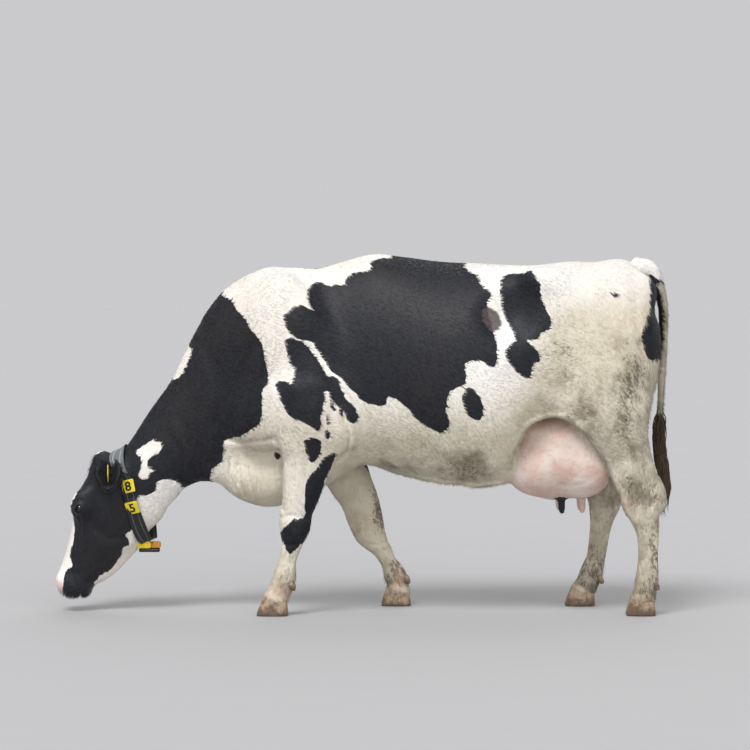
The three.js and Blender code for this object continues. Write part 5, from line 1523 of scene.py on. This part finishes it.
unwrapped(skin)
skin_mesh = skin.data
body_count = len(skin_points)
skin_mesh.calc_loop_triangles()
corner_points = read(skin_mesh.loop_triangles, "vertices", 3, np.int32)
corner_loops = read(skin_mesh.loop_triangles, "loops", 3, np.int32)
skin_uv = read(skin_mesh.uv_layers["OFBake"].data, "uv", 2)
all_points = read(skin_mesh.vertices, "co", 3).astype(float)
all_normals = read(skin_mesh.vertices, "normal", 3).astype(float)
on_body = (corner_points < body_count).all(1)
FACTS = ("black", "pink", "nose", "neck", "dirt", "mud", "bare", "tint", "legs")


class Roots:
    """Places on the skin where hair grows, with what the skin is like there."""

    def __init__(self, at, normal, uv, facts):
        self.at, self.normal, self.uv = at, normal, uv
        self.facts = {**facts, "root": at}

    def kept(self, chosen):
        facts = {key: values[chosen] for key, values in self.facts.items()}
        return Roots(self.at[chosen], self.normal[chosen], self.uv[chosen], facts)

    def __len__(self):
        return len(self.at)


edges = all_points[corner_points[:, 1:]] - all_points[corner_points[:, :1]]
areas = np.linalg.norm(np.cross(edges[:, 0], edges[:, 1]), axis=1) / 2 * on_body


def scattered(count, density):
    """Roots spread at random over the body: density weighs the middle of each triangle."""
    total = np.cumsum(areas * density(all_points[corner_points].mean(1)))
    triangles = np.searchsorted(total, rng.random(count) * total[-1])
    a, b = np.sqrt(rng.random(count)), rng.random(count)
    share = np.stack([1 - a, a * (1 - b), a * b], 1)
    ids = corner_points[triangles]

    def mean(corners):
        return (corners * share[:, :, None]).sum(1)

    facts = {key: (marks[key][ids] * share).sum(1) for key in FACTS}
    uv = mean(skin_uv[corner_loops[triangles]])
    return Roots(mean(all_points[ids]), unit(mean(all_normals[ids])), uv, facts)


def lie_of(r):
    """The way the hair lies at each root."""
    way = np.array(LIE_TRUNK)
    for key, other in (("neck", LIE_NECK), ("legs", LIE_LEG)):
        share = r.facts[key][:, None]
        way = way * (1 - share) + np.array(other) * share
    p = r.at
    swirl = .30 * np.sin(7 * p[:, 0] + 3 * p[:, 2]) + .22 * np.sin(13 * p[:, 2] - 6 * p[:, 0] + 4 * p[:, 1])
    swirl = (swirl + rng.normal(0, .13, len(p)))[:, None]
    way = unit(way - r.normal * (way * r.normal).sum(1)[:, None] + 1e-6)
    return unit(way * np.cos(swirl) + np.cross(r.normal, way) * np.sin(swirl))


PATCH = .0015                  # half the width of a hair's patch on the unwrap


def grown(name, r, points, faces, corners, normals):
    """A piece of coat: its hairs' points, each hair having as many corners, with its root's facts and UV."""
    spread = {key: np.repeat(values, corners, axis=0) for key, values in r.facts.items()}
    mesh = make_mesh(name, points.reshape(-1, 3), [faces], HIDE, spread, "white_coat").data
    turn = np.arange(corners) * 2 * np.pi / corners
    uv = (r.uv[:, None] + PATCH * np.stack([np.cos(turn), np.sin(turn)], 1)).reshape(-1, 2)
    corner_uv = np.clip(uv[read(mesh.loops, "vertex_index", 1, np.int32)], 0, 1)
    mesh.uv_layers.new(name="OFBake").data.foreach_set("uv", corner_uv.astype(np.float32).ravel())
    mesh.normals_split_custom_set_from_vertices(np.asarray(normals.reshape(-1, 3), np.float32))


TUFT_FACES = (0, 2, 1), (0, 3, 2), (1, 2, 3), (0, 1, 3)


def tufts(name, r, length, width, lift):
    """Short flat tufts: each a thin four-sided spike lying along the coat."""
    way, normal = lie_of(r), r.normal
    aside = np.cross(normal, way)
    length, width, lift = length[:, None], width[:, None], lift[:, None]
    root, half = r.at - normal * .0010, aside * width / 2
    middle = root + way * length * .40 + normal * (.0010 + lift)
    tip = r.at + way * length + normal * lift * .8 + aside * width * rng.normal(0, .35, len(r))[:, None]
    points = np.stack([root - half, root + half, middle, tip], 1)
    first = np.arange(len(r))[:, None] * 4
    faces = np.concatenate([first + np.array(f) for f in TUFT_FACES])
    lean = aside * rng.normal(0, .10, len(r))[:, None] + way * .08
    tilt = np.array((-.15, .15, 0, 0))[:, None]
    grown(name, r, points, faces, 4, unit((normal + lean)[:, None] + aside[:, None] * tilt))


LOCK_STOPS = np.array((0, .28, .62, 1.0))[None, :, None]       # rings along a lock, and its tip
LOCK_FACES = [(0, 1, 2)]
for ring in (0, 3):
    for a, b in ((ring, ring + 1), (ring + 1, ring + 2), (ring + 2, ring)):
        LOCK_FACES += [(a, b + 3, b), (a, a + 3, b + 3)]
LOCK_FACES += [(6, 9, 7), (7, 9, 8), (8, 9, 6)]


def locks(name, r, start, length, width, droop):
    """Long locks: tapered, bent, three-sided, closed at the root."""
    n = len(r)
    length, width = (np.broadcast_to(v, n)[:, None, None] for v in (length, width))
    aside = unit(np.cross(start, r.normal) + 1e-6)
    over = unit(np.cross(aside, start))
    bend = np.broadcast_to(droop, (n, 3)) + aside * rng.normal(0, .12, n)[:, None]
    line = start[:, None] * LOCK_STOPS + bend[:, None] * LOCK_STOPS**2
    line = (r.at - r.normal * .0015)[:, None] + length * line
    rings = []
    for k in range(3):
        a = 2 * np.pi * k / 3 + .5
        out = aside * math.cos(a) + over * math.sin(a) * .6
        rings.append(line[:, :3] + out[:, None] * width / 2 * (1 - LOCK_STOPS[:, :3] ** 2 * .75))
    points = np.concatenate([np.stack(rings, 2).reshape(n, 9, 3), line[:, 3:]], 1)
    first = np.arange(n)[:, None] * 10
    faces = np.concatenate([first + np.array(f) for f in LOCK_FACES])
    middle = np.concatenate([np.repeat(line[:, :3], 3, 1), line[:, 2:3]], 1)
    grown(name, r, points, faces, 10, unit(points - middle + r.normal[:, None] * width * .9 + 1e-9))


# ------------------------------------------------------------ the coat
def body_density(p):
    down, front, belongs = head_place(p)
    bald = belongs * smooth(down, .515, .545) * smooth(front, -.12, -.08)
    legs = smooth(.62 - p[:, 2], 0, .1) * smooth(p[:, 0], -.62, -.5)
    return (1 + 3.2 * belongs + 1.0 * legs) * (1 - bald) * (1 - .94 * udder_of(p))


TUFT_PIECES, TUFTS_EACH = 6, 39500
for n in range(TUFT_PIECES):
    r = scattered(TUFTS_EACH, body_density)
    belongs, legs = head_place(r.at)[2], r.facts["legs"]
    eye = np.minimum(*(np.linalg.norm(r.at - eye_axes(side)[0], axis=1) for side in (-1, 1)))
    small = np.clip(np.maximum(belongs, r.facts["pink"]), 0, 1)
    length = (.0155 - .0045 * legs * (1 - belongs)) * (1 - small) + .0062 * small
    length = length * rng.uniform(.75, 1.25, len(r)) * (1 - .55 * smooth(.05 - eye, 0, .02))
    width = (.0029 - .0008 * legs) * (1 - small) + .0014 * small
    lift = (.0015 + .0004 * rng.standard_normal(len(r))) * (1 - .55 * small)
    keep = (eye > EYE_RADIUS + LID + .004) & (r.facts["nose"] < .35)
    r, length, width, lift = r.kept(keep), length[keep], width[keep], lift[keep]
    tufts(f"coat_tufts_{n + 1}", r, length, width * rng.uniform(.8, 1.2, len(r)), np.maximum(lift, .0004))


def blob(p, centre, radii):
    return np.exp(-(((p - centre) / radii) ** 2).sum(1))


def on_crest(p):
    return smooth(-p[:, 0], .25, .45) * (1 - head_place(p)[2])


def on_brisket(p):
    return smooth(-p[:, 0], .28, .34) * smooth(.66 - p[:, 2], 0, .08) * smooth(p[:, 0], -.80, -.70)


def on_belly(p):
    middle = np.exp(-((p[:, 2] - .50) / .085) ** 2) * smooth(.26 - np.abs(p[:, 1]), 0, .1)
    return middle * smooth(p[:, 0], -.22, -.12) * smooth(.62 - p[:, 0], 0, .1)


def on_rump(p):
    return smooth(p[:, 0], 1.07, 1.12) * smooth(p[:, 2], .42, .5) * smooth(1.34 - p[:, 2], 0, .1)


def at_fetlocks(p):
    return sum(blob(p, (x - .012, y, z + .012), (.05, .05, .045)) for y, _, _, _, (x, z) in FEET.values())


def at_coronets(p):
    return np.exp(-((p[:, 2] - .072) / .012) ** 2) * (p[:, 2] < .11)


def down_tail(p):
    return smooth(p[:, 0], 1.195, 1.215) * smooth(p[:, 2], .69, .72) * np.exp(-(p[:, 1] / .035) ** 2)


# Longer locks where they break the outline. They rise off the skin and are then pulled one way: name,
# count, where, length, width, rise, pull, how unruly, and which roots are kept.
for name, count, density, length, width, rise, pull, unruly, keep in (
    ("poll", 1300, lambda p: blob(p, on_head(.012, -.01, 0), (.05, .06, .04)), .017, .0024, .25,
     (-.15, 0, -.40), .22, None),
    ("crest", 9000, on_crest, .016, .0026, .30, (.1, 0, -.3), .25, lambda r: r.normal[:, 2] > .45),
    ("brisket", 4200, on_brisket, .0105, .0022, .14, (.1, 0, -.3), .25, lambda r: r.normal[:, 2] < -.2),
    ("belly", 4300, on_belly, .015, .0026, .25, (.2, 0, -.4), .25,
     lambda r: (r.facts["pink"] < .3) & (r.normal[:, 2] < -.1)),
    ("rump", 2200, on_rump, .019, .0028, .25, (.1, 0, -.5), .25, None),
    ("fetlock", 3600, at_fetlocks, .017, .0024, .30, (-.05, 0, -.6), .25, lambda r: r.at[:, 2] > .058),
    ("coronet", 3800, at_coronets, .014, .0022, .22, (-.1, 0, -.5), .25, None),
    ("tail", 4200, down_tail, .019, .0021, .16, (.0, 0, -.3), .12, None),
):
    r = scattered(count, density)
    r = r.kept(keep(r)) if keep else r
    start = unit(lie_of(r) + r.normal * rise + rng.normal(0, unruly, (len(r), 3)))
    sizes = length * rng.uniform(.65, 1.25, len(r))
    locks(name + "_locks", r, start, sizes, width * rng.uniform(.8, 1.2, len(r)), np.array(pull))

# ------------------------------------------------------------ hair of the ears
def roots_at(places, normals, first, last):
    """Roots at given places, with what the skin is like at its nearest point among some of its points."""
    among = all_points[first:last]
    nearest = first + np.array([np.argmin(((among - place) ** 2).sum(1)) for place in places])
    return Roots(places, normals, skin_uv[loop_at[nearest]], {key: marks[key][nearest] for key in FACTS})


def ear_roots(side, t, s, inside):
    """Roots on an ear; inside is whether each grows in the cup."""
    way = np.where(inside, 1, -1)
    places = ear_points(side, t, s, EAR_THICK / 2 * (1 - .45 * s**2) * way)
    return roots_at(places, ear_frame(side)[3] * way[:, None], body_count, None)


loop_at = np.zeros(len(all_points), np.int64)
loop_points = read(skin_mesh.loops, "vertex_index", 1, np.int32)
loop_at[loop_points] = np.arange(len(loop_points))
EAR_FRINGE, EAR_INSIDE, EAR_BACK = 900, 1100, 2400     # locks on each
for name, side in SIDES:
    _, along, across, away = ear_frame(side)
    count = EAR_FRINGE
    t, s = rng.uniform(.10, .99, count), rng.choice((-1.0, 1.0), count) * rng.uniform(.93, 1.0, count)
    r = ear_roots(side, t, s, rng.random(count) < .5)
    start = unit(along * .9 + across * (s * .75)[:, None] + rng.normal(0, .25, (count, 3)))
    locks(f"ear_fringe_{name}", r, start, .017 * rng.uniform(.6, 1.3, count), .0022, along * .2)
    count = EAR_INSIDE
    t, s = rng.uniform(.14, .85, count), rng.uniform(-.8, .8, count)
    r = ear_roots(side, t, s, np.ones(count, bool))
    start = unit(along * .8 + away * .55 - across * (s * .4)[:, None] + rng.normal(0, .30, (count, 3)))
    r.facts["dirt"] = np.full(count, .5)
    locks(f"ear_inside_{name}", r, start, .024 * rng.uniform(.5, 1.2, count), .0020, along * .25)
    count = EAR_BACK
    t, s = rng.uniform(.06, .98, count), rng.uniform(-.95, .95, count)
    r = ear_roots(side, t, s, np.zeros(count, bool))
    start = unit(along + r.normal * .12 + rng.normal(0, .10, (count, 3)))
    locks(f"ear_back_{name}", r, start, .013 * rng.uniform(.7, 1.2, count), .0023, along * .1)

# ------------------------------------------------------------ lashes
LASHES = 110
for name, side in SIDES:
    centre, out, level, high = eye_axes(side)
    high = high if high @ FACE_FRONT > 0 else -high
    count = LASHES
    place = rng.uniform(-1, 1, count)
    upper = rng.random(count) < .72
    sign = np.where(upper, 1, -1)
    rise = sign * .0100 * (1 - .55 * place**2)
    along_lid = place * .0155
    depth = np.sqrt(np.maximum((EYE_RADIUS + LID) ** 2 - along_lid**2 - rise**2, 1e-5))
    roots = centre + level * along_lid[:, None] + high * rise[:, None] + out * depth[:, None]
    r = roots_at(roots, unit(roots - centre), 0, body_count)
    r.facts["black"] = np.full(count, .05)
    way = high * sign[:, None]
    start = unit(out * .9 + way * .45 + level * (place * .35)[:, None] + rng.normal(0, .1, (count, 3)))
    locks(f"lashes_{name}", r, start, np.where(upper, .017, .009) * rng.uniform(.8, 1.15, count), .0010,
          way * -.15)

# ------------------------------------------------------------ the tail's switch
def tail_hair_material():
    """Long coarse hair: dark brown, paler at the ends, streaked along each lock."""
    f = Finish("tail_hair", Specular_IOR_Level=.35)
    at = f.attribute("strand", "Vector")
    streak = f.noise(f.add("TexCoord", "Object"), 220.0, 3.0)
    paint = f.mix(f.part(at, 0), "#2a211c", "#5b4636")
    paint = f.mix(f.times(f.part(at, 1), .5), paint, "#7a634b")
    paint = f.mix(f.span(streak, .3, .75, 0, .45), paint, "#1b1512")
    return f.end(streak, .3, .0008, Base_Color=paint, Roughness=f.span(streak, .3, .7, .5, .7))


SWITCH_LOCKS, SWITCH_RINGS, SWITCH_AROUND = 900, 9, 4
SWITCH_TOP, SWITCH_REACH = .835, .27       # its highest roots, and how far down the tail they go


def switch_locks():
    """Locks that hang round the end of the tail, bound by nothing, some flicked out to the back."""
    n, rings, around = SWITCH_LOCKS, SWITCH_RINGS, SWITCH_AROUND
    place = rng.random(n) ** .8
    top = SWITCH_TOP - SWITCH_REACH * place
    turn = rng.uniform(0, 2 * np.pi, n)
    tail_x = np.interp(top, (.56, .70, .76, .90), (1.231, 1.229, 1.228, 1.234))
    tail_radius = np.interp(top, (.56, .70, .86), (.004, .010, .012))
    out = np.stack([np.cos(turn), np.sin(turn), np.zeros(n)], 1)
    side = np.cross(out, (0, 0, 1.0))
    start = np.stack([tail_x, np.zeros(n), top], 1) + out * tail_radius[:, None]
    length = np.interp(place, (0, 1), (.15, .175)) * rng.uniform(.55, 1.08, n)
    belly = rng.uniform(.25, 1.0, n)
    flick = np.where(rng.random(n) < .22, rng.uniform(.2, 1.0, n), 0)[:, None]
    t = np.linspace(0, 1, rings)
    bulge = .017 * belly[:, None] * np.sin(np.pi * np.minimum(t * 1.05, 1)) ** .8
    wave = .004 * np.sin(t * rng.uniform(4, 9, n)[:, None] + rng.uniform(0, 6, n)[:, None])
    line = start[:, None] + out[:, None] * bulge[..., None] + side[:, None] * wave[..., None]
    line[..., 2] -= length[:, None] * t
    low = line[..., 2].copy()
    line[..., 0] += .024 * smooth(.70 - low, 0, .20) - .010 * smooth(.52 - low, 0, .1) + flick * .020 * t**2
    line[..., 2] += flick * .012 * t**3
    half = rng.uniform(.0012, .0026, n)[:, None] * (1 - t**2.2) + .0002
    corners = []
    for k in range(around):
        a = 2 * np.pi * k / around
        way = out * math.cos(a) + side * math.sin(a)
        corners.append(line + way[:, None] * half[..., None])
    points = np.stack(corners, 2).reshape(-1, 3)
    first = (np.arange(n) * rings * around)[:, None, None]
    faces = (first + np.concatenate(tube_faces(rings, around))).reshape(-1, 4)
    tone = np.repeat(rng.random(n) ** 1.6, rings * around)
    run = np.tile(np.repeat(t, around), n)
    piece = make_mesh("switch_locks", points, [faces], tail_hair_material(),
                      {"strand": np.stack([tone, run, tone * 0], 1)}, "tail_hair")
    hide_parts("tail_switch")


switch_locks()


# ------------------------------------------------------------ floor, light and the end
def floor_material():
    f = Finish("floor_grey", Base_Color="#b3b3b4", Specular_IOR_Level=.2)
    at = f.add("TexCoord", "Object")
    return f.end(f.noise(at, 60.0, 4.0), .05, .001, Roughness=f.span(f.noise(at, 3.0), .3, .7, .75, .9))


FLOOR_HALF = 150.0
floor_corners = [(x * FLOOR_HALF, y * FLOOR_HALF, 0) for x, y in ((-1, -1), (1, -1), (1, 1), (-1, 1))]
floor = make_mesh("floor", floor_corners, [np.array([[0, 1, 2, 3]])], floor_material())

world = bpy.data.worlds.new("studio")
world.use_nodes = True
sky = world.node_tree.nodes["Background"].inputs
sky["Color"].default_value = colour("#ededef")
sky["Strength"].default_value = .70
bpy.context.scene.world = world
bpy.context.scene.view_settings.view_transform = "Standard"


def soft_sun(name, azimuth, height, power, spread):
    """A wide soft light from far off: azimuth 0 is from the camera's side, 90 from the tail's."""
    data = bpy.data.lights.new(name, "SUN")
    data.energy, data.angle = power, math.radians(spread)
    lamp = bpy.data.objects.new(name, data)
    lamp.rotation_euler = (math.radians(90 - height), 0, math.radians(azimuth))
    bpy.context.collection.objects.link(lamp)


soft_sun("key", -25, 54, 2.0, 25)
soft_sun("fill", 15, 20, .65, 60)
soft_sun("rim", 170, 50, .4, 50)
